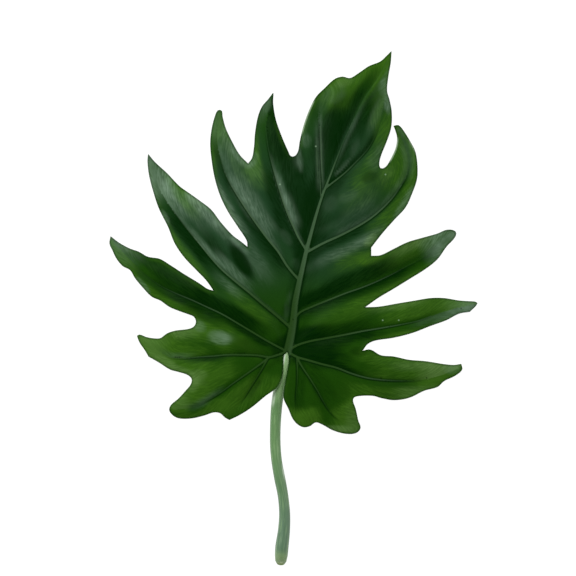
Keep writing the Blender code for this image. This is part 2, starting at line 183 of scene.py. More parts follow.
# The margin, clockwise from the junction. Each stretch is one smooth curve from the end of
# the stretch before it, and stretches meet at a point or a corner.
MARGIN = {
    "slot, left side": [
        (-2.3, -1.8), (-2.8, -6.3), (-3.1, -12.3), (-4.5, -17.7), (-7.5, -22.2), (-13, -26.1),
        (-21.3, -33), (-28.5, -37.7), (-34.8, -40.8)],
    "left basal lobe": [
        (-37.5, -39.3), (-40.2, -36.8), (-44.1, -36.3), (-50.1, -38.3), (-57.3, -40),
        (-64.5, -40.1), (-68.1, -38.7), (-70.8, -35.4), (-69.9, -32.3), (-65.2, -28.2),
        (-60.9, -23.5), (-57.7, -19.6), (-57.1, -16.2), (-59.7, -13.7), (-65.7, -11.9),
        (-70.4, -10.6), (-77, -6.5), (-83.3, -3)],
    "left low lobe, end": [(-85.7, 1), (-88.8, 5.4), (-90.4, 9.3)],
    "left low lobe, upper edge, and left middle lobe, lower edge": [
        (-88.8, 10), (-84.9, 8.5), (-79.5, 7.7), (-75.9, 8), (-72, 10.8), (-66.9, 12.5),
        (-59.1, 13.5), (-55.6, 15.1), (-54.4, 18.3), (-55.8, 21.2), (-58.8, 22.5), (-63.9, 24.3),
        (-70.5, 27), (-75.9, 30.7), (-81.1, 33), (-86.2, 38.2), (-91.2, 44.1), (-94.2, 48.9),
        (-98.7, 51.3), (-102.6, 55.8), (-105.1, 60.9), (-106.9, 64.8), (-106.3, 69)],
    "left middle lobe, upper edge": [
        (-101.1, 65.1), (-94.5, 61.6), (-89.1, 59.7), (-83.7, 56.7), (-76.5, 55.4), (-70.5, 51.9),
        (-62.1, 46.5), (-52.5, 40.7), (-47.6, 37.4), (-43.7, 36.3)],
    "left high lobe, lower edge": [
        (-48.3, 42.8), (-54.7, 49.4), (-61.8, 56.9), (-67.2, 64.8), (-71.4, 74.8), (-77.3, 86.2),
        (-80.8, 96.3), (-83.3, 105.8), (-84.3, 114.3), (-84, 118.7)],
    "left high lobe, upper edge": [
        (-80.1, 114), (-72.9, 107.4), (-65.2, 99.4), (-58.8, 94.7), (-52.7, 90.3), (-45.9, 85),
        (-39.9, 77.2), (-32.7, 69.3), (-27.9, 65.7), (-23.7, 62.3)],
    "left top lobe": [
        (-24.1, 66.3), (-29.1, 74.1), (-35.7, 84.3), (-40.2, 93.6), (-43.5, 104.4),
        (-45.5, 116.1), (-46.2, 125.1), (-45.3, 133.8), (-43.4, 141.3), (-41.7, 144.7),
        (-39.6, 144.5), (-39.1, 141), (-37.1, 133.7), (-33.1, 125.2), (-28.5, 117.3),
        (-23.5, 112.2)],
    "left crown lobe, left edge": [
        (-21.1, 115.5), (-19.9, 122.1), (-19.3, 130.5), (-17.7, 140.1), (-15.2, 146.6),
        (-11.6, 150.9), (-8.5, 155)],
    "left crown lobe, right edge, and crown, left edge": [
        (-8.7, 148.5), (-7.1, 138.8), (-3.7, 128.8), (0.3, 119.5), (1.9, 116.6), (4.5, 116.7),
        (6.5, 119.7), (7.5, 125.7), (9.9, 135.6), (13.2, 144.6), (17.1, 152.2), (22.5, 157.8),
        (28.5, 163.3), (33, 164.7), (37.5, 163.8), (42.9, 166.9), (48.9, 171), (55.8, 174),
        (59.4, 177.3), (62.4, 180.3)],
    "crown, right edge": [
        (61.9, 173.7), (60.3, 164.7), (59.5, 156.2), (61, 150.8), (62.3, 143.7), (62, 134.7),
        (59.4, 126.3), (56, 117.9), (54.7, 112.8), (55.5, 109.5), (58.8, 110.4), (62.4, 116.1),
        (65.1, 122.4), (65.8, 128.1), (64.7, 132.6), (63.7, 135.1)],
    "right top lobe, outer edge": [
        (66.5, 135.5), (69.9, 131.7), (73.8, 125.4), (76.4, 120.2), (77.7, 112.5), (77.5, 103.5),
        (74.4, 94.5), (70.5, 86.4), (63.9, 79.2), (56.7, 71.1), (49.7, 62.2)],
    "right top notch": [(49.7, 57.1)],
    "right high lobe": [
        (55.5, 57.5), (63.3, 61.2), (71.7, 65.3), (81.3, 68.2), (90.4, 70.8), (96.3, 73.1),
        (101.3, 72.1), (100.9, 68.8), (95.7, 63), (90.6, 55.9), (83.1, 49.9), (73.3, 43.8),
        (63.7, 38), (54.1, 32.4), (45.7, 26.5)],
    "right middle lobe, upper edge": [
        (54.3, 26.8), (65.1, 28.6), (75.9, 30.4), (85.5, 31.9), (93.9, 31.9), (103.5, 30.4),
        (111.9, 29.9)],
    "right middle lobe, end": [(114.2, 29), (109.5, 23.9)],
    "right middle lobe, lower edge": [
        (102.9, 22.8), (95.1, 18.9), (85.5, 15.5), (74.7, 11.5), (62.7, 8.5), (52.2, 6.9),
        (47.6, 4.8), (44.3, 0.5)],
    "right low lobe, upper edge": [
        (49.2, 1.3), (55.5, -2.1), (63.3, -2.9), (72.3, -4.9), (82.5, -5.8), (94.5, -7.8),
        (100.3, -8.3), (104.5, -7.7)],
    "right low and basal lobes, and slot, right side": [
        (105, -11.1), (100.5, -14.7), (93.9, -17.7), (90, -21.1), (81.9, -23.3), (72.9, -27.5),
        (63.9, -28.9), (56.1, -27.6), (50.8, -26.1), (40.6, -26.6), (38.9, -28.7), (40.7, -34.4),
        (42.3, -41.5), (43.7, -45.9), (41.1, -48.8), (35.1, -49.2), (27.3, -47.1), (20.7, -43.5),
        (16.8, -42.3), (13.2, -44.7), (8.7, -45), (3.9, -41.1), (0.6, -33.9), (-2.2, -27.6),
        (-1.6, -20.1), (0, -11.7), (1, -4.2), (0, 0)],
}

# Each main vein: the width of its pale line above, the width and depth of its rib underneath,
# all where it starts, and its path.
VEINS = {
    "midrib": (4.9, 4.4, 2.6, [
        (0, 0), (1.8, 8.1), (3.4, 17.7), (4.5, 28.7), (6.3, 38.3), (8.7, 49.1), (11.2, 60),
        (13.9, 70.2), (17.2, 82.1), (20.9, 93.5), (25.2, 104.5), (29.2, 114.9), (33.4, 125.6),
        (38.4, 136.1), (42.7, 145.4), (47, 153.3), (53.5, 162.6), (58.5, 171.3), (61.4, 177)]),
    "crown, left": (0.6, 1.6, 0.8, [
        (19.9, 91.5), (19.4, 104.1), (18.9, 114.9), (18.7, 125.1), (18.4, 136.5), (18.6, 147.3),
        (20.4, 154.5)]),
    "crown, right": (0.75, 1.6, 0.8, [
        (23.1, 97.8), (25.6, 99.9), (30.3, 103.5), (35.1, 107.5), (39.9, 112.3), (44.7, 117.1),
        (48.4, 121.6), (52.2, 128.4), (55.4, 138), (57.2, 148)]),
    "left crown lobe": (1.0, 2.4, 1.4, [
        (11.3, 60.3), (6.8, 67.7), (3.7, 74.3), (-0.2, 83.2), (-3.2, 91.7), (-6.9, 103.7),
        (-10, 114.7), (-12, 124.5), (-12.9, 134.7), (-11.1, 144.9), (-9.3, 151.5)]),
    "left top lobe": (1.2, 2.8, 1.7, [
        (7.4, 42.3), (0.3, 50.5), (-5.6, 59.8), (-11.8, 67.4), (-18.3, 76.1), (-24.9, 85.6),
        (-32.1, 96.9), (-36.9, 105.9), (-40.8, 117.9), (-42.6, 128.7), (-41.7, 138.9),
        (-40.9, 142.5)]),
    "left high lobe": (1.3, 3.0, 1.8, [
        (2.8, 13.6), (-6.9, 22.1), (-15.3, 29.1), (-23.1, 35.7), (-31.4, 42.4), (-39.1, 49.1),
        (-46, 56.6), (-51.9, 63.8), (-58.2, 71.3), (-64.1, 78.6), (-69.8, 86), (-74.8, 93.3),
        (-79.5, 102.9), (-82.6, 113)]),
    "left middle lobe": (1.0, 3.0, 1.8, [
        (0, 0), (-11.7, 6.3), (-21, 11.9), (-29.8, 17.2), (-39.2, 22.7), (-48.2, 26.9),
        (-57.7, 31.3), (-66.9, 35.1), (-76.5, 39.9), (-86.7, 47.7), (-96.3, 56.7),
        (-104, 65.4)]),
    "left low lobe": (1.1, 3.0, 1.8, [
        (0, 0), (-6.3, -2), (-10.8, -3.2), (-17.7, -2.1), (-26.7, -1.7), (-35.7, -1.7),
        (-44.7, -2.5), (-53.7, -3.1), (-62.7, -4.1), (-70.5, -3.6), (-78.9, 1.5), (-86.4, 7)]),
    "left basal lobe": (0.9, 2.6, 1.5, [
        (-10.8, -3.2), (-17.9, -8.5), (-25.1, -13.6), (-32.6, -18.9), (-39.8, -24.3),
        (-47.6, -29.3), (-55.5, -33.3), (-63.9, -34.8), (-68.4, -34.6)]),
    "left basal tooth": (0.7, 1.6, 0.8, [
        (-12, -4.4), (-16.5, -12.3), (-21.3, -20.1), (-26.1, -27.9), (-30.9, -34.5),
        (-33.6, -38.4)]),
    "right top lobe": (1.3, 2.8, 1.7, [
        (11.1, 59.2), (21.5, 64.9), (31.2, 69.3), (41.3, 74.6), (49.6, 79.8), (56.7, 85.7),
        (62.7, 92), (67.4, 98.6), (71.4, 105.6), (72.7, 113.7), (70.8, 122.7),
        (66.9, 131.1)]),
    "right high lobe": (1.0, 3.0, 1.8, [
        (3.4, 17.7), (7, 23.2), (14.5, 26.9), (25.2, 31.3), (34.8, 35.1), (44.4, 38.4),
        (53.9, 42.3), (63.4, 46.8), (73, 51.9), (82.3, 56.5), (90.9, 62.7), (98.1, 69.6)]),
    "right middle lobe": (1.2, 3.0, 1.8, [
        (0, 0), (5.1, 3.6), (12.3, 6.1), (21.8, 8), (32.6, 10), (44, 12.3), (55.5, 14.2),
        (67.5, 16.3), (79.5, 18.9), (91.2, 23.3), (102.2, 26.3), (109.5, 27.5)]),
    "right low lobe": (1.2, 3.0, 1.8, [
        (0, 0), (5.4, -3), (12.4, -5), (20.7, -7.3), (29.2, -9.4), (38.1, -12.8),
        (47.2, -15.4), (56.2, -16.7), (67.5, -17.3), (79.5, -17.2), (91.5, -14.7),
        (102, -10.5)]),
    "right basal lobe": (0.9, 2.6, 1.5, [
        (5.4, -3), (8.8, -9), (13.6, -16.2), (17.9, -23.2), (21.7, -30.2), (26.1, -36.8),
        (32.1, -42), (39.3, -46.2)]),
    "right basal tooth": (0.7, 1.6, 0.8, [
        (5.6, -3.8), (5.9, -11.1), (5.7, -19.5), (5, -27.9), (5.7, -35.7), (8.1, -42.4)]),
}

# Where the blade's tissue is darker, yellower, paler or waxier than elsewhere, and where shade
# and sheen are painted on it. Dark is darker tissue with painted shade beside the veins, wax is
# a waxy coat with painted sheen and highlights, and shade is painted shade in a deep fold, which
# covers the other tones. Bands lie beside a vein, on one side of it as seen from its start. Each
# has the shares of the vein's length where it starts and ends, how near to the vein it comes and
# how far out it goes in millimetres, and its strength. A share above 1 takes in the tip, and a
# distance below 0 the vein itself. Each patch has its middle's plan point, half its length and
# half its width, the direction of its length in degrees, and its strength.
LEFT = 1
RIGHT = -1
# Dark bands: darker tissue, and painted shade on the flanks that face away from the light.
DARK_AND_SHADE_BANDS = {
    ("midrib", LEFT): [
        (0.2, 0.5, 1.5, 6, 0.8), (0.42, 0.62, 1, 10, 0.9), (0.6, 0.82, 1, 16, 1),
        (0.78, 0.9, 1, 7, 0.8)],
    ("midrib", RIGHT): [
        (0, 0.5, -3, 3.2, 0.8), (0.1, 0.5, 2, 9, 0.3), (0.52, 0.9, 1, 4, 0.85),
        (0.52, 0.68, 3, 9, 0.7), (0.71, 0.9, 3, 9, 0.75)],
    ("crown, right", LEFT): [(0, 0.68, 0.3, 2.4, 0.9)],
    ("crown, right", RIGHT): [(0, 0.3, 1, 4, 0.4)],
    ("left crown lobe", LEFT): [(0.05, 0.2, 0.4, 3.5, 0.7), (0.2, 0.56, 0.4, 8, 0.8)],
    ("left crown lobe", RIGHT): [
        (0.02, 0.2, 1, 6, 0.7), (0.1, 1.2, 4, 18, 0.85), (0.58, 1.2, -3, 18, 0.8)],
    ("left top lobe", LEFT): [
        (0.1, 0.45, -3, 3, 0.8), (0.42, 0.85, -3, 3, 0.6), (0.1, 0.45, 1, 5, 0.7),
        (0.1, 0.4, 4, 8, 0.35)],
    ("left top lobe", RIGHT): [(0.05, 0.35, 7, 16, 0.5)],
    ("left high lobe", LEFT): [(0.08, 0.5, -3, 1.5, 0.8), (0.44, 0.78, -3, 6.5, 0.95)],
    ("left high lobe", RIGHT): [(0.44, 0.6, 3.5, 9, 0.7)],
    ("left middle lobe", LEFT): [
        (0.05, 0.4, -3, 3, 0.7), (0.36, 0.66, -3, 4.5, 0.8), (0.64, 0.84, -3, 3, 0.3),
        (0.36, 0.56, 3, 8, 0.45), (0.1, 0.3, 0.5, 3.5, 0.8)],
    ("left middle lobe", RIGHT): [
        (0.16, 0.56, -3, 8, 0.95), (0.5, 0.72, -3, 9, 0.65), (0.66, 0.9, 3, 9, 0.55),
        (0.5, 0.8, 7, 14, 0.5)],
    ("left low lobe", LEFT): [(0.42, 0.62, 0.5, 3, 0.7), (0.05, 0.6, -3, 1, 0.5)],
    ("left low lobe", RIGHT): [(0, 0.35, -3, 10, 0.4)],
    ("left basal tooth", LEFT): [(0.3, 0.65, 0.5, 4, 0.6)],
    ("right top lobe", LEFT): [(0, 0.14, 1.5, 8, 0.7), (0.1, 0.3, 8, 14, 0.4)],
    ("right top lobe", RIGHT): [(0, 0.36, -3, 4.5, 0.8), (0.3, 0.75, -3, 1.5, 0.7)],
    ("right high lobe", LEFT): [
        (0.02, 0.34, 1.5, 9, 1), (0.25, 0.66, 2, 11, 0.8), (0.6, 0.85, 1, 6, 0.25)],
    ("right high lobe", RIGHT): [
        (0, 0.72, -3, 2.5, 1), (0.68, 0.9, -3, 2.5, 0.5), (0.05, 0.7, 1, 5, 0.5)],
    ("right middle lobe", LEFT): [(0, 0.25, -3, 9, 1), (0.2, 0.44, 0, 7, 0.6)],
    ("right middle lobe", RIGHT): [(0, 0.3, -3, 8, 0.95), (0.26, 0.5, -3, 5, 0.9)],
    ("right low lobe", LEFT): [(0, 0.32, -3, 10, 1), (0.26, 0.42, -3, 3, 0.9)],
    ("right low lobe", RIGHT): [(0, 0.7, -3, 1, 0.6), (0, 0.3, -3, 3, 0.5)],
    ("right basal lobe", LEFT): [(0, 0.6, -3, 9, 0.3)],
    ("right basal lobe", RIGHT): [(0, 0.6, -3, 2, 0.4)],
    ("right basal tooth", LEFT): [(0.1, 0.8, -3, 5, 0.35)],
}
YELLOW_BANDS = {
    ("midrib", LEFT): [(0.93, 1.2, -3, 26, 0.9), (0.79, 1.2, 6, 18, 0.75)],
    ("midrib", RIGHT): [(0.86, 1.2, -3, 12, 0.8), (0.62, 0.8, 16, 30, 0.3)],
    ("crown, left", LEFT): [(0.9, 1.2, -3, 12, 0.4)],
    ("crown, left", RIGHT): [(0.9, 1.2, -3, 6, 0.4), (0.86, 1.2, 5, 18, 0.95)],
    ("crown, right", LEFT): [(0.78, 1.2, -3, 6, 0.5)],
    ("crown, right", RIGHT): [(0.44, 0.56, 3, 8, 0.5)],
    ("left crown lobe", LEFT): [(0.5, 0.66, 6, 16, 0.8), (0.62, 1.2, 6, 12, 0.8)],
    ("left top lobe", LEFT): [(0.75, 1.2, -3, 9, 0.45)],
    ("left top lobe", RIGHT): [
        (0.85, 1.2, -3, 9, 0.6), (0.62, 1.2, 5, 14, 0.25), (0.5, 0.6, 16, 22, 0.4)],
    ("left high lobe", LEFT): [(0.1, 0.3, 3, 10, 0.45), (0.45, 0.85, 8, 20, 0.6)],
    ("left high lobe", RIGHT): [(0.7, 1.2, 6, 20, 0.8)],
    ("left middle lobe", LEFT): [
        (0.25, 0.5, 9, 18, 0.8), (0.12, 0.3, 5, 12, 0.5), (0.45, 0.95, 4, 18, 0.55),
        (0.85, 1.2, -3, 16, 0.7)],
    ("left low lobe", LEFT): [(0.5, 0.95, 3, 16, 0.9), (0.7, 1.2, -3, 20, 0.9)],
    ("left low lobe", RIGHT): [
        (0.55, 0.85, 0.3, 6, 0.7), (0.62, 1.2, 4, 20, 0.6), (0.4, 0.6, 10, 20, 0.5),
        (0.8, 1.2, -3, 20, 0.9)],
    ("left basal lobe", LEFT): [(0.2, 1.2, 3, 14, 0.7)],
    ("left basal lobe", RIGHT): [(0.3, 0.6, 3, 14, 0.6), (0.58, 1.2, 2, 20, 1)],
    ("left basal tooth", LEFT): [(0.2, 1.2, 2, 12, 0.4), (0.15, 0.5, 9, 16, 0.6)],
    ("right top lobe", LEFT): [
        (0.64, 1.2, 0.5, 14, 0.5), (0.45, 0.65, 16, 26, 0.4), (0.32, 0.56, 8, 22, 0.2)],
    ("right top lobe", RIGHT): [(0.4, 1.2, 2, 12, 0.6)],
    ("right high lobe", LEFT): [(0.34, 0.5, 13, 22, 0.5), (0.58, 0.95, 3, 14, 0.6)],
    ("right high lobe", RIGHT): [
        (0.35, 0.95, 5, 14, 0.55), (0.05, 0.2, 8, 16, 0.25), (0.18, 0.4, 6, 16, 0.4)],
    ("right middle lobe", LEFT): [(0.54, 1.2, 2, 14, 0.7), (0.8, 1.2, -3, 14, 0.9)],
    ("right middle lobe", RIGHT): [(0.52, 1.2, 4.5, 14, 0.8)],
    ("right low lobe", LEFT): [
        (0.5, 1.2, 1, 16, 0.6), (0.38, 0.55, 9, 16, 0.5), (0.75, 1.2, -3, 16, 1)],
    ("right low lobe", RIGHT): [(0.4, 1.2, 4.5, 16, 0.6), (0.75, 1.2, -3, 16, 1)],
    ("right basal lobe", LEFT): [(0.72, 1.2, -3, 16, 1)],
    ("right basal lobe", RIGHT): [(0.8, 1.2, -3, 16, 0.8)],
    ("right basal tooth", LEFT): [(0.8, 1.2, -3, 12, 1)],
    ("right basal tooth", RIGHT): [(0.8, 1.2, -3, 12, 1)],
}
# Wax bands: a waxy coat, with painted sheen over it.
WAX_AND_SHEEN_BANDS = {
    ("midrib", RIGHT): [(0.66, 0.8, -3, 2, 0.2), (0.9, 0.97, 2, 7, 0.25)],
    ("crown, left", LEFT): [
        (0.1, 0.7, -3, 2, 0.25), (0.32, 0.4, 11, 14, 0.3), (0.72, 1.0, 6, 14, 0.3),
        (0.52, 0.74, 8, 14, 0.22)],
    ("crown, left", RIGHT): [(0.1, 0.8, -3, 2, 0.25)],
    ("crown, right", RIGHT): [(0.46, 0.64, 4, 12, 0.25)],
    ("left crown lobe", LEFT): [
        (0.1, 0.55, -3, 0.6, 0.5), (0.48, 0.62, 6, 16, 0.15), (0.89, 1.2, 0.5, 8, 0.4)],
    ("left crown lobe", RIGHT): [
        (0.08, 0.6, -3, 1.2, 0.45), (0.2, 0.48, -1, 3, 0.6), (0.2, 0.34, -1, 5.5, 0.4)],
    ("left top lobe", LEFT): [
        (0.88, 1.2, -3, 8, 0.22), (0.38, 0.58, -3, 2.5, 0.17), (0.36, 0.6, -3, 0.4, 0.5),
        (0.35, 0.65, 6, 12, 0.35), (0.12, 0.3, 14, 20, 0.2), (0.16, 0.34, 9, 13, 0.22)],
    ("left top lobe", RIGHT): [
        (0.2, 0.5, -3, 1.5, 0.5), (0.24, 0.36, 0, 3.4, 0.3), (0.8, 0.9, 4, 10, 0.2),
        (0.3, 0.42, 2, 8.5, 0.45), (0.4, 0.62, -3, 5, 0.68), (0.42, 0.6, 4, 10, 0.3),
        (0.6, 0.85, -3, 3, 0.35), (0.62, 0.9, 3, 10, 0.17), (0.88, 1.2, -3, 8, 0.22)],
    ("left high lobe", LEFT): [(0.87, 1.2, -3, 10, 0.65), (0.3, 0.38, 2.5, 7, 0.4)],
    ("left high lobe", RIGHT): [
        (0.06, 0.3, -3, 1, 0.2), (0.27, 0.5, -3, 2.5, 0.3), (0.3, 0.46, 1.5, 6.5, 0.5),
        (0.42, 0.66, -3, 2.8, 0.45), (0.22, 0.34, 12, 18, 0.15), (0.5, 0.66, 13.5, 20, 0.5),
        (0.62, 0.78, 11.5, 20, 0.55), (0.62, 0.82, 5, 10.5, 0.2), (0.62, 0.74, -3, 1.2, 0.25),
        (0.73, 1.2, -3, 5.5, 0.65), (0.8, 1.2, 4.5, 9, 0.7), (0.84, 1.2, -3, 5, 0.2)],
    ("left middle lobe", LEFT): [(0.9, 1.2, -3, 10, 0.3)],
    ("left middle lobe", RIGHT): [(0.88, 1.2, -3, 10, 0.4)],
    ("left low lobe", RIGHT): [(0.4, 0.48, 8, 12, 0.6), (0.66, 0.84, -3, 3, 0.25)],
    ("left basal lobe", LEFT): [(0.68, 0.85, -3, 1.5, 0.2)],
    ("left basal lobe", RIGHT): [(0.52, 0.85, -3, 3, 0.2)],
    ("right top lobe", LEFT): [
        (0.3, 0.56, 8, 22, 0.04), (0.3, 0.5, 4.5, 11, 0.12), (0.16, 0.26, 5, 9, 0.15),
        (0.2, 0.36, 0.5, 3.5, 0.25), (0.36, 0.95, -3, 3, 0.17)],
    ("right top lobe", RIGHT): [(0.04, 0.42, 7, 11.5, 0.45), (0.76, 1.2, -3, 4, 0.2)],
    ("right high lobe", LEFT): [(0.86, 1.2, -3, 10, 0.68), (0.9, 1.2, -3, 2, 0.5)],
    ("right high lobe", RIGHT): [(0.86, 1.2, -3, 10, 0.72)],
    ("right middle lobe", LEFT): [(0.93, 1.2, -3, 10, 0.4)],
    ("right middle lobe", RIGHT): [
        (0.7, 0.9, -3, 3, 0.2), (0.88, 1.2, -3, 5, 0.7), (0.78, 0.9, 3, 6, 0.25)],
}
PALE_BANDS = {
    ("left low lobe", LEFT): [(0.8, 1.2, -3, 16, 0.3)],
    ("left low lobe", RIGHT): [(0.6, 1.2, 13, 22, 0.5), (0.88, 1.2, -3, 10, 0.35)],
    ("left basal lobe", RIGHT): [(0.85, 1.2, -3, 16, 0.3)],
    ("right top lobe", LEFT): [(0.64, 0.76, 8, 14, 0.2)],
    ("right high lobe", LEFT): [(0.68, 0.92, 7.5, 14, 0.5)],
    ("right middle lobe", LEFT): [(0.5, 0.8, 10, 16, 0.45), (0.88, 1.2, -3, 10, 0.2)],
    ("right low lobe", LEFT): [(0.8, 1.2, -3, 16, 0.62), (0.64, 0.82, 6.5, 12, 0.35)],
    ("right low lobe", RIGHT): [(0.66, 0.84, 4, 12, 0.35)],
    ("right basal lobe", LEFT): [(0.92, 1.2, -3, 12, 0.3)],
    ("right basal lobe", RIGHT): [(0.92, 1.2, -3, 12, 0.35)],
}
TONE_BANDS = {"dark_and_painted_shade": DARK_AND_SHADE_BANDS, "yellow": YELLOW_BANDS, "pale": PALE_BANDS, "wax_and_painted_sheen": WAX_AND_SHEEN_BANDS}
TONE_PATCHES = {
    # Painted shade of a deep fold.
    "shade": [(-27.5, 54, 12, 4, 122, 0.94)],
    # Wax patches: a waxy coat with painted sheen, and the first is a painted highlight.
    "wax_and_painted_sheen": [
        (-40.5, 8.7, 6.5, 3.8, 165, 0.55), (-30.3, 66.3, 4, 3, 120, 0.6),
        (59.7, 150.9, 8, 2, 95, 0.55), (28.5, 154.5, 7, 5, 40, 0.12),
        (36.3, 92.7, 6, 3, 30, 0.13), (25.5, 88, 5, 4, 60, 0.07),
        (-0.9, 68.1, 5, 2.5, 120, 0.12), (0.3, 27, 9, 2, 80, 0.08),
        (11.5, 126, 4, 2.5, 88, 0.2), (22.5, 150.5, 7, 4, 55, 0.08),
        (33.2, 110.5, 7, 1, 48, 0.3), (40.2, 121.5, 6, 2, 70, 0.1),
        (7, 115.5, 8, 1.5, 97, 0.25), (53.4, 143, 13, 3, 68, 0.15),
        (-21.3, 114.3, 5, 3, 60, 0.35), (-12.3, 147.3, 4, 2.5, 75, 0.3),
        (-81.3, 105.3, 5, 2, 105, 0.4), (-52.5, 15.3, 4, 3, 150, 0.3),
        (-31.5, 77.7, 8, 1.8, 123, 0.4), (-40.5, 95.7, 9, 1.8, 112, 0.35),
        (-30.3, 118.5, 9, 2.2, 122, 0.45), (57.3, 158.7, 5, 2.2, 80, 0.35),
        (99, -10.5, 6, 3, -5, 0.2), (69.9, 89.1, 12, 2, 58, 0.35),
        (-53.7, 88.5, 10, 2.8, 140, 0.5), (-73.5, 80.1, 5, 2, 115, 0.3),
        (-86.7, 39.3, 6, 2, 130, 0.35), (-28.5, 63.9, 7, 2.5, 132, 0.4)],
    "pale": [
        (-56.7, -19.5, 4.5, 3.5, 60, 0.4), (-53.1, -13.5, 5, 3, 0, 0.3),
        (49.5, 66.9, 5, 2.5, 45, 0.5), (33.9, 161.7, 6, 3, 20, 0.3),
        (38.7, -39.3, 8, 4, 100, 0.1), (29.1, -46.5, 9, 2.2, 0, 0.45),
        (85, -8.5, 9, 2.5, -5, 0.25), (-61.5, -13.5, 12, 3.5, 157, 0.35),
        (-72.9, -6, 8, 2.2, 155, 0.3)],
    "yellow": [
        (-65.7, -33.3, 7, 4, 170, 0.8), (33.9, 161.7, 7, 3.5, 20, 0.7),
        (38.7, -39.3, 8, 4, 100, 0.8), (49.5, 56.1, 9, 4, 15, 0.9), (-40.5, -32.1, 8, 4, 0, 0.5)],
    "dark_and_painted_shade": [(48.9, 104.1, 5, 3, 20, 0.45), (42.3, 0.3, 5, 2.5, 0, 0.45)],
}

# Each stretch where the rim rolls up and each cool patch has its middle's plan point and its
# reach. A line of painted sheen runs on each side of one vein, and the specks are plan points.
ROLLED_RIMS = [(12.6, 140, 12), (67.5, 119.7, 9.5)]
ROLLED_CORE = 0.7
TWIN_LINED = "crown, left"
TWIN_START = 0.2
TWIN_ENDS = {LEFT: 0.5, RIGHT: 0.68}
TWIN_AWAY = 1.3
TWIN_REACH = 3.0
TWIN_SOFTNESS = 0.14
SPECKS = [(58.5, 105.9), (16.9, 122.7), (-4.5, 99.9), (56.7, 18.9), (66.3, 18.9)]
COOL_PATCHES = [
    (-30, 66, 28), (-8, 85, 34), (20, 60, 22), (-52, 84, 26), (-30, 105, 24), (22, 100, 26),
    (38, 80, 22), (36, 125, 24),
]

# How softly patches and bands end: a band's long edges soften with their distance from the vein.
PATCH_SOFTNESS = 0.35
BAND_CRISPNESS = 0.7
BAND_SOFTENING = 0.18
BAND_END_SOFTNESS = 0.08

# How each lobe lies, round from the slot's right side: the direction of its tip in degrees
# from +X, its reach from the junction, its tip's height, and how far it arches on the way.
LOBES = [
    (-90, 44, 9.0, 0.6),
    (-78.7, 46, 8.6, 0.6),
    (-48, 64, 5.5, 3.0),
    (-5, 105, 3.0, 6.5),
    (13.6, 116, 2.0, 7.0),
    (35, 121, -7.0, 8.5),
    (58, 146, 6.0, 6.5),
    (71, 190, 4.5, 7.5),
    (93, 156, 9.0, 6.0),
    (105.8, 151, 6.5, 6.0),
    (125.3, 145, -9.0, 8.5),
    (147.6, 127, 2.4, 7.5),
    (174.3, 92, 3.5, 5.5),
    (206, 80, 5.0, 4.0),
    (229.5, 54, 8.0, 1.2),
    (270, 44, 9.0, 0.6),
]

# The stalk's middle line, from under the junction to the cut end: plan point, height of the
# stalk's underside, and how thick it is there beside its usual radius.
STALK = [
    (1.6, 5.2, 8.3, 0.62), (0.8, 2.6, 6.85, 0.86), (-0.3, -1, 6.6, 0.98), (-1.1, -6.3, 6.9, 1),
    (-2.2, -12.9, 6.4, 1), (-4.3, -19.5, 5.4, 1.02), (-5.7, -26.7, 4.2, 1.04),
    (-6.7, -35.1, 3.1, 1.02), (-7.3, -45.9, 2.3, 0.98), (-7.3, -56.1, 1.8, 0.98),
    (-6.5, -65.7, 1.5, 0.98), (-4.6, -76.5, 1.2, 1.03), (-2.7, -86.7, 0.9, 0.98),
    (-1.7, -97.5, 0.6, 1.02), (-2.1, -107.7, 0.3, 1.12), (-3.3, -117.3, 0.02, 1.23),
    (-3.7, -122.6, 0.02, 1.2),
]
CUT_END = [(-4.0, -126.2, 0.5, 1.04), (-4.1, -127.7, 1.5, 0.72)]


def smooth_curve(points, step):
    """Points about one step apart on a smooth curve through the given ones."""
    known = np.array(points, float)
    if len(known) == 2:
        count = max(1, round(np.linalg.norm(known[1] - known[0]) / step))
        return known[0] + (known[1] - known[0]) * np.linspace(0, 1, count + 1)[:, None]
    padded = np.vstack([2 * known[0] - known[1], known, 2 * known[-1] - known[-2]])
    fine = []
    for before, start, end, after in zip(padded, padded[1:], padded[2:], padded[3:]):
        span = np.linalg.norm(end - start)
        slope_in = (end - before) / np.linalg.norm(end - before) * span
        slope_out = (after - start) / np.linalg.norm(after - start) * span
        t = np.linspace(0, 1, CURVE_FINENESS, endpoint=False)[:, None]
        rise = 3 * t ** 2 - 2 * t ** 3
        fine.append(start * (1 - rise) + end * rise + slope_in * t * (1 - t) ** 2
                    + slope_out * t ** 2 * (t - 1))
    fine = np.vstack(fine + [known[-1:]])
    along = np.concatenate([[0], np.cumsum(np.linalg.norm(np.diff(fine, axis=0), axis=1))])
    count = max(2, round(along[-1] / step))
    wanted = np.linspace(0, along[-1], count + 1)
    return np.column_stack([np.interp(wanted, along, fine[:, axis])
                            for axis in range(known.shape[1])])


def margin_points(step):
    """The whole margin as one closed ring of plan points."""
    ring = []
    corner = (0, 0)
    for stretch in MARGIN.values():
        curve = smooth_curve([corner] + stretch, step)
        ring.extend(curve[1:])
        corner = stretch[-1]
    return np.array(ring)


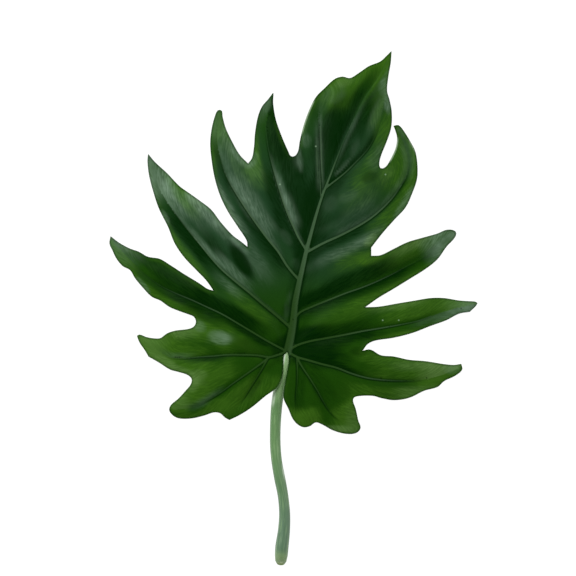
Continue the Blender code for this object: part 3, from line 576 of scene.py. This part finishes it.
def nearest_on_line(plan, line):
    """For each plan point, its distance from a line, the share of the line passed by then,
    and the side of the line that it lies on: 1 on the left, -1 on the right."""
    lengths = np.linalg.norm(np.diff(line, axis=0), axis=1)
    starts = np.concatenate([[0], np.cumsum(lengths)])
    distance = np.full(len(plan), np.inf)
    along = np.zeros(len(plan))
    side = np.zeros(len(plan))
    for start, end, length, begun in zip(line, line[1:], lengths, starts):
        heading = (end - start) / length
        from_start = plan - start
        t = np.clip(from_start @ heading / length, 0, 1)
        away = np.linalg.norm(from_start - t[:, None] * (end - start), axis=1)
        closer = away < distance
        distance[closer] = away[closer]
        along[closer] = (begun + t[closer] * length) / starts[-1]
        turn = heading[0] * from_start[:, 1] - heading[1] * from_start[:, 0]
        side[closer] = np.sign(turn[closer])
    return distance, along, side


def inside(plan, ring):
    """Which plan points lie inside a closed ring."""
    within = np.zeros(len(plan), bool)
    for (x1, y1), (x2, y2) in zip(ring, np.roll(ring, -1, axis=0)):
        spans = (y1 > plan[:, 1]) != (y2 > plan[:, 1])
        if y1 != y2:
            crossing = x1 + (plan[:, 1] - y1) * (x2 - x1) / (y2 - y1)
            within ^= spans & (plan[:, 0] < crossing)
    return within


def ease(value, start, end):
    """0 before the start, 1 past the end, and a smooth step between."""
    t = np.clip((value - start) / (end - start), 0, 1)
    return t * t * (3 - 2 * t)


def band(value, start, end, softness):
    """0 outside a stretch, 1 within it, and a smooth step about each of its ends."""
    return (ease(value, start - softness, start + softness)
            * ease(value, end + softness, end - softness))


def beside_vein(away, near, far):
    """1 between two distances from a vein, and 0 outside, with softer steps farther from it."""
    near_soft = BAND_CRISPNESS + BAND_SOFTENING * max(near, 0)
    far_soft = BAND_CRISPNESS + BAND_SOFTENING * far
    return (ease(away, near - near_soft, near + near_soft)
            * ease(away, far + far_soft, far - far_soft))


def line_half(name, along):
    """Half the width of a vein's pale line at a share of the vein's length."""
    fade = MIDRIB_LINE_FADE if name == "midrib" else LINE_FADE
    return VEINS[name][0] / 2 * np.maximum((1 - along) ** fade, LINE_LEAST)


def lie_of_lobes(plan):
    """Height of the blade without its veins: each lobe arches from the junction to its tip."""
    lobes = np.array(LOBES, float)
    direction = np.degrees(np.arctan2(plan[:, 1], plan[:, 0]))
    direction = np.where(direction < lobes[0, 0], direction + 360, direction)
    place = np.interp(direction, lobes[:, 0], np.arange(len(lobes)))
    before = np.clip(place.astype(int), 0, len(lobes) - 2)
    t = place - before
    blend = (t * t * (3 - 2 * t))[:, None]
    reach, tip, arch = (lobes[before, 1:] * (1 - blend) + lobes[before + 1, 1:] * blend).T
    out = np.linalg.norm(plan, axis=1) / reach
    droop = out ** DROOP_POWER
    return JUNCTION_HEIGHT * (1 - droop) + tip * droop + arch * np.sin(math.pi * out ** ARCH_POWER)


def laid_down(height):
    """Heights bent up to the surface that the leaf lies on, where they would pass below it."""
    bent = (height + LAY_DOWN_BEND) ** 2 / (4 * LAY_DOWN_BEND)
    return np.where(height > LAY_DOWN_BEND, height, np.where(height < -LAY_DOWN_BEND, 0, bent))


def bands_leave(bands, name, away, along, side):
    """How much of the plain tissue the bands of one tone leave beside a vein, from 1 to 0."""
    left = np.ones(len(away))
    for flank in (LEFT, RIGHT):
        for start, end, near, far, strength in bands.get((name, flank), []):
            lies_in = band(along, start, end, BAND_END_SOFTNESS) * beside_vein(away, near, far)
            left *= 1 - strength * lies_in * (side == flank)
    return left


def patches_leave(patches, plan):
    """How much of the plain tissue the patches of one tone leave, from 1 to 0."""
    left = np.ones(len(plan))
    for x, y, length, width, direction, strength in patches:
        turn = math.radians(direction)
        ahead = (plan[:, 0] - x) * math.cos(turn) + (plan[:, 1] - y) * math.sin(turn)
        aside = (plan[:, 1] - y) * math.cos(turn) - (plan[:, 0] - x) * math.sin(turn)
        out = np.hypot(ahead / length, aside / width)
        left *= 1 - strength * ease(out, 1 + PATCH_SOFTNESS, 1 - PATCH_SOFTNESS)
    return left


def tone_fields(plan, veins):
    """The strength of each tone, and where the rim is rolled up and the twin lines of painted
    sheen run, from 0 to 1 for each plan point."""
    tones = {}
    for tone, patches in TONE_PATCHES.items():
        left = patches_leave(patches, plan)
        for name, vein in veins.items():
            left *= bands_leave(TONE_BANDS.get(tone, {}), name, *vein)
        tones[tone] = 1 - left
    warm = np.ones(len(plan))
    for x, y, reach in COOL_PATCHES:
        warm *= 1 - np.exp(-((plan[:, 0] - x) ** 2 + (plan[:, 1] - y) ** 2) / reach ** 2)
    rolled = np.zeros(len(plan))
    for x, y, reach in ROLLED_RIMS:
        out = np.hypot(plan[:, 0] - x, plan[:, 1] - y)
        rolled = np.maximum(rolled, ease(out, reach, reach * ROLLED_CORE))
    away, along, side = veins[TWIN_LINED]
    close = ease(away, TWIN_REACH + 1, TWIN_REACH)
    twin_sheen = np.zeros(len(plan))
    for flank, end in TWIN_ENDS.items():
        beside = band(along, TWIN_START, end, TWIN_SOFTNESS) * close
        twin_sheen = np.maximum(twin_sheen, beside * (side == flank))
    return {**tones, "cool": 1 - warm, "rolled": rolled, "twin_sheen": twin_sheen}


def blade_fields(plan):
    """What varies over the blade, as numbers for each plan point: the heights of its two faces,
    and the distances and tones that its colours follow."""
    margin = margin_points(LINE_STEP)
    from_junction = np.linalg.norm(plan, axis=1)
    rib, line, furrow, passed, share, south = np.zeros((6, len(plan)))
    cushion, vein_half = np.ones((2, len(plan)))
    nearest, second = np.full((2, len(plan)), np.inf)
    veins = {}
    for name, (_, width, depth, path) in VEINS.items():
        path = smooth_curve(path, LINE_STEP)
        length = np.linalg.norm(np.diff(path, axis=0), axis=1).sum()
        veins[name] = nearest_on_line(plan, path)
        away, along, side = veins[name]
        slim = 1 - VEIN_TAPER * along
        lasting = 1 - VEIN_FADE * along ** VEIN_FADE_POWER
        cushion *= 1 - lasting * np.exp(-away / CUSHION_REACH)
        across = np.clip(away / (width / 2 * slim), 0, 1)
        rib = np.maximum(rib, depth * slim * np.sqrt(1 - across ** 2))
        half = line_half(name, along)
        line = np.maximum(line, LINE_HEIGHT * slim * np.clip(1 - (away / half) ** 2, 0, 1))
        furrow = np.maximum(furrow, FURROW_DEPTH * slim * np.exp(-(away / FURROW_REACH) ** 2))
        closer = away - half < nearest - vein_half
        second = np.where(closer, nearest, np.minimum(second, away))
        vein_half = np.where(closer, half, vein_half)
        passed = np.where(closer, along * length, passed)
        share = np.where(closer, along, share)
        # South: signed distance from the nearest vein, positive on its side away from the key
        # light, where its painted shade lies.
        south = np.where(closer, away * side * np.sign(path[0, 0] - path[-1, 0]), south)
        nearest = np.where(closer, away, nearest)
    rib *= np.clip((from_junction - RIB_START) / RIB_RISE, 0, 1)
    edge, _, _ = nearest_on_line(plan, np.vstack([margin, margin[:1]]))
    drift = MARGIN_WAVE_DRIFT * np.sin(2 * math.pi * plan[:, 1] / MARGIN_DRIFT_LENGTH)
    wave = np.sin(2 * math.pi * plan[:, 0] / MARGIN_WAVE_LENGTH + drift)
    lift = MARGIN_WAVE * wave * np.exp(-edge / MARGIN_WAVE_REACH)
    lift -= MARGIN_TURN * np.exp(-edge / MARGIN_TURN_REACH)
    free = np.clip((from_junction - CALM_REACH) / CALM_RISE, 0, 1)
    slanted = passed - SIDE_VEIN_SLANT * nearest + SIDE_VEIN_CURVE * nearest ** 2
    apart = ease(second - nearest, 0, MEETING_REACH) * ease(nearest, 0, SIDE_VEIN_START)
    between = np.sin(math.pi * slanted / SIDE_VEIN_SPACING) ** 2
    side_vein = np.exp(-SIDE_VEIN_NARROWNESS * between) * apart
    upper = lie_of_lobes(plan) + CUSHION_HEIGHT * cushion + line - furrow + lift * free
    upper -= SIDE_VEIN_DEPTH * side_vein
    thin = BLADE_THICKNESS + (EDGE_THICKNESS - BLADE_THICKNESS) * np.exp(-edge / EDGE_REACH)
    lower = laid_down(upper - thin - rib - SIDE_RIB_HEIGHT * side_vein)
    return {
        "upper": np.maximum(upper, lower + thin),
        "lower": lower,
        "vein_away": nearest,
        "vein_half": vein_half,
        "vein_share": share,
        "vein_south": south,
        "edge_away": edge,
        "slanted": slanted,
        "apart": apart,
        "side_vein": side_vein,
        **tone_fields(plan, veins),
    }


def split_along(face, line):
    """Splits a face along the plan points of a line that lie clear inside it, from the face's
    corner nearest to the first of them to its corner nearest to the last. Returns the halves."""
    ring = np.array([vert.co.xy for vert in face.verts])
    edge, _, _ = nearest_on_line(line, np.vstack([ring, ring[:1]]))
    line = line[inside(line, ring) & (edge > CLEAR_OF_EDGES)]
    start = nearest_vert(face.verts, line[0])
    end = nearest_vert(face.verts, line[-1])
    other, _ = bmesh.utils.face_split(face, start, end, coords=[(x, y, 0) for x, y in line])
    return face, other


def nearest_vert(verts, point):
    """The vertex that lies nearest to a plan point."""
    return min(verts, key=lambda vert: (vert.co.xy - Vector(point)).length)


def face_round(faces, line):
    """The face that holds the middle of a line."""
    middle = np.array(line)[len(line) // 2][None]
    return next(face for face in faces
                if inside(middle, np.array([vert.co.xy for vert in face.verts]))[0])


def blade_sheet():
    """The blade as one flat sheet: the margin filled, split along every vein and both its
    sides, and cut into fine triangles."""
    sheet = bmesh.new()
    rim = [sheet.verts.new((x, y, 0)) for x, y in margin_points(OUTLINE_STEP)]
    sheet.faces.new(rim)
    for name, (_, _, _, path) in VEINS.items():
        path = smooth_curve(path, OUTLINE_STEP)
        sides = split_along(face_round(sheet.faces, path), path)
        heading = np.gradient(path, axis=0)
        heading /= np.linalg.norm(heading, axis=1)[:, None]
        across = np.column_stack([-heading[:, 1], heading[:, 0]])
        half = line_half(name, np.linspace(0, 1, len(path)))
        half = np.maximum(half, FOOT_LEAST)[:, None]
        for foot in (path + across * half, path - across * half):
            split_along(face_round(sides, foot), foot)
    for edge in sheet.edges:
        edge.seam = True
    for axis, normal in ((0, (1, 0, 0)), (1, (0, 1, 0))):
        places = [vert.co[axis] for vert in rim]
        for place in np.arange(min(places) + GRID_STEP / 2, max(places), GRID_STEP):
            bmesh.ops.bisect_plane(
                sheet, geom=sheet.verts[:] + sheet.edges[:] + sheet.faces[:], dist=FLAT,
                plane_co=Vector(normal) * place, plane_no=normal)
    kept = [vert for vert in sheet.verts if any(edge.seam for edge in vert.link_edges)]
    close = bmesh.ops.find_doubles(sheet, verts=sheet.verts, keep_verts=kept, dist=SLIVER)
    bmesh.ops.weld_verts(sheet, targetmap=close["targetmap"])
    bmesh.ops.triangulate(sheet, faces=sheet.faces)
    for edge in sheet.edges:
        edge.seam = False
    return sheet


def finished(name, form, material):
    """A piece from a form in millimetres from the junction, in its place on the leaf."""
    bmesh.ops.translate(form, verts=form.verts, vec=(*JUNCTION, 0))
    bmesh.ops.scale(form, verts=form.verts, vec=(MM, MM, MM))
    mesh = bpy.data.meshes.new(name)
    form.to_mesh(mesh)
    form.free()
    mesh.materials.append(material)
    piece = bpy.data.objects.new(name, mesh)
    bpy.context.scene.collection.objects.link(piece)
    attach(piece, "root")
    return piece


def make_blade(material):
    """The blade: the flat sheet made double, closed by a round rim, and lifted to its form."""
    blade = blade_sheet()
    blade.verts.index_update()
    fields = blade_fields(np.array([vert.co.xy for vert in blade.verts]))
    layers = {name: blade.verts.layers.float.new(name) for name in (*fields, "under")}
    for vert in blade.verts:
        for name, numbers in fields.items():
            vert[layers[name]] = numbers[vert.index]
        vert[layers["under"]] = 1
    under = layers["under"]
    grown = bmesh.ops.extrude_face_region(blade, geom=blade.faces[:], use_keep_orig=True)["geom"]
    for vert in grown:
        if isinstance(vert, bmesh.types.BMVert):
            vert[under] = 0
    for vert in blade.verts:
        vert.co.z = vert[layers["lower" if vert[under] else "upper"]]
    walls = [edge for edge in blade.edges if edge.verts[0][under] != edge.verts[1][under]]
    for wall in walls:
        for face in wall.link_faces:
            for edge in face.edges:
                edge.smooth = edge.verts[0][under] != edge.verts[1][under]
    for face in blade.faces:
        face.smooth = True
    round_the_rim(blade, walls, under)
    for name in ("upper", "lower"):
        blade.verts.layers.float.remove(blade.verts.layers.float[name])
    piece = finished("blade_skin", blade, material)
    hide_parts("blade")


def round_the_rim(blade, walls, under):
    """A row of vertices halfway up the rim, pushed outwards."""
    middle = bmesh.ops.subdivide_edges(blade, edges=walls, cuts=1)["geom_inner"]
    middle = [vert for vert in middle if isinstance(vert, bmesh.types.BMVert)]
    bmesh.ops.recalc_face_normals(blade, faces=blade.faces)
    blade.normal_update()
    pushes = [Vector((*vert.normal.xy, 0)).normalized() * EDGE_ROUND for vert in middle]
    for vert, push in zip(middle, pushes):
        vert.co += push
        vert[under] = 0.5


def make_stalk(material):
    """The stalk: a cylinder with a ring at every station, bent along the middle line."""
    line = np.vstack([smooth_curve(STALK, STALK_STEP), CUT_END])
    last = len(line) - 1
    tube = bmesh.new()
    bmesh.ops.create_cone(tube, cap_ends=True, segments=STALK_SIDES, radius1=1, radius2=1,
                          depth=last, matrix=Matrix.Translation((0, 0, last / 2)))
    for station in range(1, last):
        bmesh.ops.bisect_plane(tube, geom=tube.verts[:] + tube.edges[:] + tube.faces[:],
                               dist=FLAT, plane_co=(0, 0, station), plane_no=(0, 0, 1))
    cut = next(face for face in tube.faces if face.calc_center_median().z > last - FLAT)
    for width, depth in CUT_RINGS:
        bmesh.ops.inset_region(tube, faces=[cut], thickness=width, depth=depth)
    layers = {name: tube.verts.layers.float.new(name) for name in ("turn", "down", "core")}
    ahead = np.gradient(line[:, :3], axis=0)
    for vert in tube.verts:
        angle = math.atan2(vert.co.y, vert.co.x)
        out = math.hypot(vert.co.x, vert.co.y)
        before = min(int(vert.co.z), last - 1)
        share = vert.co.z - before
        x, y, underside, thickness = line[before] * (1 - share) + line[before + 1] * share
        heading = Vector(ahead[before] * (1 - share) + ahead[before + 1] * share).normalized()
        across = heading.cross((0, 0, 1)).normalized()
        rise = across.cross(heading)
        passed = vert.co.z / last
        ridges = FIBRE_HEIGHT * math.sin(FIBRES * angle + FIBRE_TURN * passed)
        reach = out * (STALK_RADIUS * thickness + ridges)
        neck = NECK_LIFT * (1 - min(passed / NECK_SHARE, 1)) ** 2
        middle = Vector((x, y, underside + STALK_RADIUS * thickness + neck))
        vert[layers["turn"]] = angle
        vert[layers["down"]] = passed
        vert[layers["core"]] = 1 - out
        vert.co = middle + (across * math.cos(angle) + rise * math.sin(angle)) * reach
    bmesh.ops.recalc_face_normals(tube, faces=tube.faces)
    for face in tube.faces:
        face.smooth = True
    piece = finished("stalk_skin", tube, material)
    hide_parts("stalk")


class Wire:
    """A number or colour on its way through a material. Sums on it add nodes."""

    def __init__(self, tree, socket=None):
        self.tree = tree
        self.socket = socket

    def node(self, kind, settings, inputs, output=0):
        """A new node: its settings are made first, then its sockets are filled or linked."""
        made = self.tree.nodes.new(kind)
        for name, value in settings.items():
            setattr(made, name, value)
        for name, value in inputs.items():
            if isinstance(value, Wire):
                self.tree.links.new(value.socket, made.inputs[name])
            else:
                made.inputs[name].default_value = value
        return Wire(self.tree, made.outputs[output])

    def math(self, operation, first, second):
        return self.node("ShaderNodeMath", {"operation": operation}, {0: first, 1: second})

    def __add__(self, other):
        return self.math("ADD", self, other)

    def __radd__(self, other):
        return self.math("ADD", other, self)

    def __sub__(self, other):
        return self.math("SUBTRACT", self, other)

    def __rsub__(self, other):
        return self.math("SUBTRACT", other, self)

    def __mul__(self, other):
        return self.math("MULTIPLY", self, other)

    def __rmul__(self, other):
        return self.math("MULTIPLY", other, self)

    def __truediv__(self, other):
        return self.math("DIVIDE", self, other)

    def __rtruediv__(self, other):
        return self.math("DIVIDE", other, self)

    def ease(self, start, end):
        """0 at the start, 1 at the end, and a smooth step between, either way round."""
        inputs = {"Value": self, "From Min": start, "From Max": end}
        return self.node("ShaderNodeMapRange", {"interpolation_type": "SMOOTHSTEP"}, inputs)

    def window(self, start, end, softness):
        """1 between two values, and 0 outside."""
        return (self.ease(start - softness, start + softness)
                * self.ease(end + softness, end - softness))

    def blend(self, other, share):
        """This colour, turned into the other by the share."""
        return self.node("ShaderNodeMix", {"data_type": "RGBA"}, {0: share, 6: self, 7: other}, 2)


class Finish:
    """A material in the making, with the patterns that the leaf's surfaces share."""

    def __init__(self, name):
        self.material = bpy.data.materials.new(name)
        self.material.use_nodes = True
        self.tree = self.material.node_tree
        self.shader = self.tree.nodes["Principled BSDF"]
        self.start = Wire(self.tree)
        self.place = self.start.node("ShaderNodeTexCoord", {}, {}, "Object")

    def fields(self, *names):
        """Numbers that the mesh carries at its vertices, one for each name."""
        return [self.start.node("ShaderNodeAttribute", {"attribute_name": name}, {}, "Fac")
                for name in names]

    def color(self, red, green, blue):
        node = self.tree.nodes.new("ShaderNodeRGB")
        node.outputs[0].default_value = (red, green, blue, 1)
        return Wire(self.tree, node.outputs[0])

    def from_point(self, x, y):
        """Distance from a plan point, both in millimetres from the leaf's origin."""
        flat = self.start.node("ShaderNodeVectorMath", {"operation": "MULTIPLY"},
                               {0: self.place, 1: (1 / MM, 1 / MM, 0)})
        return self.start.node("ShaderNodeVectorMath", {"operation": "DISTANCE"},
                               {0: flat, 1: (x, y, 0)}, "Value")

    def mottle(self, size):
        """Cloudy noise from 0 to 1 whose patches are about this many millimetres across."""
        inputs = {"Vector": self.place, "Scale": 1 / (size * MM)}
        return self.start.node("ShaderNodeTexNoise", {}, inputs, "Fac")

    def grain(self, across, along, detail):
        """Noise drawn out along one of two fields: both are given in patches."""
        vector = self.start.node("ShaderNodeCombineXYZ", {}, {0: across, 1: along})
        inputs = {"Vector": vector, "Scale": 1.0, "Detail": detail}
        return self.start.node("ShaderNodeTexNoise", {"noise_dimensions": "2D"}, inputs, "Fac")

    def lay(self, name, value):
        """Feeds a socket of the shader, by a link or with one number."""
        if isinstance(value, Wire):
            self.tree.links.new(value.socket, self.shader.inputs[name])
        else:
            self.shader.inputs[name].default_value = value

    def relief(self, height):
        """Bumps of a height in millimetres."""
        bump = self.start.node("ShaderNodeBump", {}, {"Distance": MM, "Height": height}, "Normal")
        self.lay("Normal", bump)


def blade_finish():
    """Dark waxy green above with paler veins and yellower edges, painted sheen and highlights on
    the waxy zones, and painted shade beside the veins and in a fold; matt pale green underneath.
    The distances that its steps start and end at are in millimetres."""
    skin = Finish("leaf blade")
    away, half, share, south, edge = skin.fields(
        "vein_away", "vein_half", "vein_share", "vein_south", "edge_away")
    slanted, apart, side_vein = skin.fields("slanted", "apart", "side_vein")
    dark_and_painted_shade, yellow, pale, wax_and_painted_sheen, shade, cool = skin.fields(
        "dark_and_painted_shade", "yellow", "pale", "wax_and_painted_sheen", "shade", "cool")
    rolled, twin_sheen, under = skin.fields("rolled", "twin_sheen", "under")
    under = under.ease(0.4, 0.9)
    streaks = skin.grain(slanted * 0.4, away * 0.5, 5.0)
    clouds = skin.mottle(22)
    puffs = skin.mottle(9)
    fine_grain = skin.mottle(1.3)
    wide = half.ease(0.7, 1.4)
    line = (away / (half + 0.1)).ease(1.15, 0.7) * half.ease(0.12, 0.45)
    line *= 1 - 0.5 * share.ease(0.5, 0.8)
    # Painted shade: a dark strip beside each vein's furrow, stronger on the side away from the key
    # light and on broad veins.
    shaded = 0.35 + 0.55 * (south / (half + 0.3)).ease(-0.5, 0.5) + 0.4 * wide
    beside = (away - half).ease(1.0 + half * 0.6, 0.25) * shaded * share.ease(0.9, 0.55)
    streaky = 0.5 + (streaks.ease(0.35, 0.7) - 0.5) * apart
    broken = (streaks + puffs - 1) * TONE_GRAIN
    dark_and_painted_shade += dark_and_painted_shade * (1 - dark_and_painted_shade) * broken
    yellow += yellow * (1 - yellow) * broken
    # Painted sheen on the waxy zones, broken by the streaks.
    painted_sheen = wax_and_painted_sheen * (0.25 + 0.5 * streaky + 0.5 * puffs.ease(0.3, 0.7))

    deep = skin.color(*DEEP_GREEN)
    warm = skin.color(*YELLOW_GREEN)
    upper = skin.color(*LEAF_GREEN).blend(skin.color(*COOL_GREEN), cool)
    upper = upper.blend(warm, yellow * (0.45 + 0.3 * clouds + 0.35 * streaky))
    # Darker tissue and painted shade.
    upper = upper.blend(deep, dark_and_painted_shade * (0.85 + 0.15 * streaky))
    upper = upper.blend(warm, edge.ease(3.0, 0.5) * clouds.ease(0.35, 0.65) * 0.3)
    upper = upper.blend(skin.color(*PALE_GREEN), pale * (0.6 + 0.5 * streaky) * (1 - dark_and_painted_shade))
    # Painted sheen.
    upper = upper.blend(skin.color(*PAINTED_SHEEN), painted_sheen * 0.75)
    # Painted shade of the deep fold, over the other tones.
    upper = upper.blend(deep, shade)
    # Painted shade beside the veins.
    upper = upper.blend(deep, beside * (1 - line))
    # Twin lines of painted sheen, one on each side of the crown's left vein.
    twin_sheen *= (away - TWIN_AWAY).window(-0.35, 0.35, 0.3)
    upper = upper.blend(skin.color(*VEIN_PALE), twin_sheen * TWIN_SHEEN_STRENGTH)
    # Veins paler farther from the junction, and painted light on one side of the broad ones.
    pale_and_painted_light = skin.from_point(*JUNCTION).ease(22, 70) + wide * (south / half).ease(-0.4, 0.8) * 0.3
    upper = upper.blend(skin.color(*VEIN_GREEN).blend(skin.color(*VEIN_PALE), pale_and_painted_light), line)
    upper = upper.blend(skin.color(*RIM_GREEN), edge.ease(1.2, 0.4) * (1 - rolled) * RIM_STRENGTH)
    upper = upper.blend(skin.color(*RIM_PALE), edge.ease(0.9, 0.3) * rolled * ROLLED_STRENGTH)
    for x, y in SPECKS:
        speck = skin.from_point(x + JUNCTION[0], y + JUNCTION[1]).ease(*SPECK_FADE)
        upper = upper.blend(skin.color(*SPECK_PALE), speck * SPECK_STRENGTH)

    lower = skin.color(*UNDER_GREEN).blend(skin.color(*UNDER_PALE), clouds.ease(0.3, 0.7) * 0.5)
    rib = (away / half).ease(2.6, 1.8)
    lower = lower.blend(skin.color(*RIB_GREEN), rib + side_vein * 0.35)
    skin.lay("Base Color", upper.blend(lower, under))

    roughness = BLADE_ROUGHNESS + 0.12 * (streaks - 0.5) + 0.1 * line
    skin.lay("Roughness", roughness + under * UNDER_ROUGHNESS)
    skin.lay("Specular IOR Level", BLADE_SPECULAR)
    skin.lay("Coat Weight", wax_and_painted_sheen * WAX_COAT * (0.5 + 0.5 * streaky) * (1 - under))
    skin.lay("Coat Roughness", COAT_ROUGHNESS)
    skin.relief(streaks * apart * STREAK_RELIEF + fine_grain * GRAIN_RELIEF)
    return skin.material


def stalk_finish():
    """Smooth pale green, greyer towards the cut end, with fine fibres along it, painted shade on
    its flanks, painted light where the blade shades it near the junction, and painted glints.
    """
    skin = Finish("leaf stalk")
    turn, down, core = skin.fields("turn", "down", "core")
    fibres = skin.grain(turn * 5.0, down * 9.0, 3.0)
    clouds = skin.mottle(14)
    color = skin.color(*STALK_GREEN).blend(skin.color(*STALK_GREY), down.ease(0.45, 0.85) * 0.8)
    color = color.blend(skin.color(*STALK_PALE), fibres.ease(0.5, 0.75) * 0.5)
    color = color.blend(skin.color(*STALK_DEEP), clouds.ease(0.55, 0.8) * 0.35)
    # Painted shade on the stalk's flanks.
    shaded_flanks = turn.ease(0.9, 0.3) * down.window(0.3, 0.75, 0.1) + turn.ease(2.4, 2.9) * 0.6
    color = color.blend(skin.color(*STALK_DEEP), shaded_flanks * 0.45)
    # Painted light near the junction, where the blade's edges shade the stalk.
    color = color.blend(skin.color(*STALK_PALE), down.ease(0.31, 0.2) * 0.55)
    color = color.blend(skin.color(*CUT_GREEN), down.ease(0.94, 0.99) * 0.45)
    for start, end, softness, first, last, end_softness, strength in GLINTS:
        glint = turn.window(start, end, softness) * down.window(first, last, end_softness)
        color = color.blend(skin.color(*STALK_GLINT), glint * strength)
    color = color.blend(skin.color(*CUT_GREEN), core.ease(0.02, 0.12))
    skin.lay("Base Color", color)
    skin.lay("Roughness", 0.45 + 0.15 * (fibres - 0.5))
    skin.relief(fibres * 0.05 + clouds * 0.02)
    return skin.material


def floor_finish():
    """The top of a light table: it glows white evenly, so that the leaf casts no shadow on it."""
    skin = Finish("pale floor")
    skin.lay("Base Color", (FLOOR_GREY, FLOOR_GREY, FLOOR_GREY, 1))
    skin.lay("Roughness", 0.9)
    skin.lay("Emission Color", (1, 1, 1, 1))
    skin.lay("Emission Strength", FLOOR_GLOW)
    return skin.material


def make_floor():
    """A wide floor whose far edge turns up all round."""
    cove = bmesh.new()
    profile = [cove.verts.new((reach, 0, height)) for reach, height in COVE]
    edges = [cove.edges.new(pair) for pair in zip(profile, profile[1:])]
    bmesh.ops.spin(cove, geom=profile + edges, axis=(0, 0, 1), cent=(0, 0, 0),
                   angle=2 * math.pi, steps=COVE_SIDES, use_merge=True)
    bmesh.ops.remove_doubles(cove, verts=cove.verts, dist=FLAT)
    bmesh.ops.recalc_face_normals(cove, faces=cove.faces)
    for face in cove.faces:
        face.smooth = True
    mesh = bpy.data.meshes.new("floor")
    cove.to_mesh(mesh)
    cove.free()
    mesh.materials.append(floor_finish())
    floor = bpy.data.objects.new("floor", mesh)
    bpy.context.scene.collection.objects.link(floor)


def make_light(name, azimuth, elevation, distance, size, power):
    """A square soft light that looks at the leaf's middle. Azimuth 0 is at the stalk's side."""
    lamp = bpy.data.lights.new(name, "AREA")
    lamp.shape = "SQUARE"
    lamp.size = size
    lamp.energy = power
    light = bpy.data.objects.new(name, lamp)
    azimuth = math.radians(azimuth)
    elevation = math.radians(elevation)
    back = Vector((math.sin(azimuth) * math.cos(elevation),
                   -math.cos(azimuth) * math.cos(elevation), math.sin(elevation)))
    light.location = back * distance
    light.rotation_mode = "QUATERNION"
    light.rotation_quaternion = back.to_track_quat("Z", "Y")
    bpy.context.scene.collection.objects.link(light)


def make_camera():
    """Looks straight down, with the frame's width as wide as the photograph's."""
    lens = bpy.data.cameras.new("camera")
    lens.lens = LENS
    lens.sensor_width = SENSOR
    camera = bpy.data.objects.new("camera", lens)
    height = VIEW_WIDTH * LENS / SENSOR + VIEW_LEVEL
    camera.location = (VIEW_MIDDLE[0] * MM, VIEW_MIDDLE[1] * MM, height * MM)
    bpy.context.scene.collection.objects.link(camera)
    bpy.context.scene.camera = camera


def make_world():
    world = bpy.data.worlds.new("studio")
    world.use_nodes = True
    world.node_tree.nodes["Background"].inputs["Color"].default_value = (1, 1, 1, 1)
    world.node_tree.nodes["Background"].inputs["Strength"].default_value = WORLD_GLOW
    bpy.context.scene.world = world
    bpy.context.scene.view_settings.view_transform = "Standard"


make_blade(blade_finish())
make_stalk(stalk_finish())
make_floor()
make_light("key light", *KEY_LIGHT)
make_light("fill light", *FILL_LIGHT)
make_camera()
make_world()
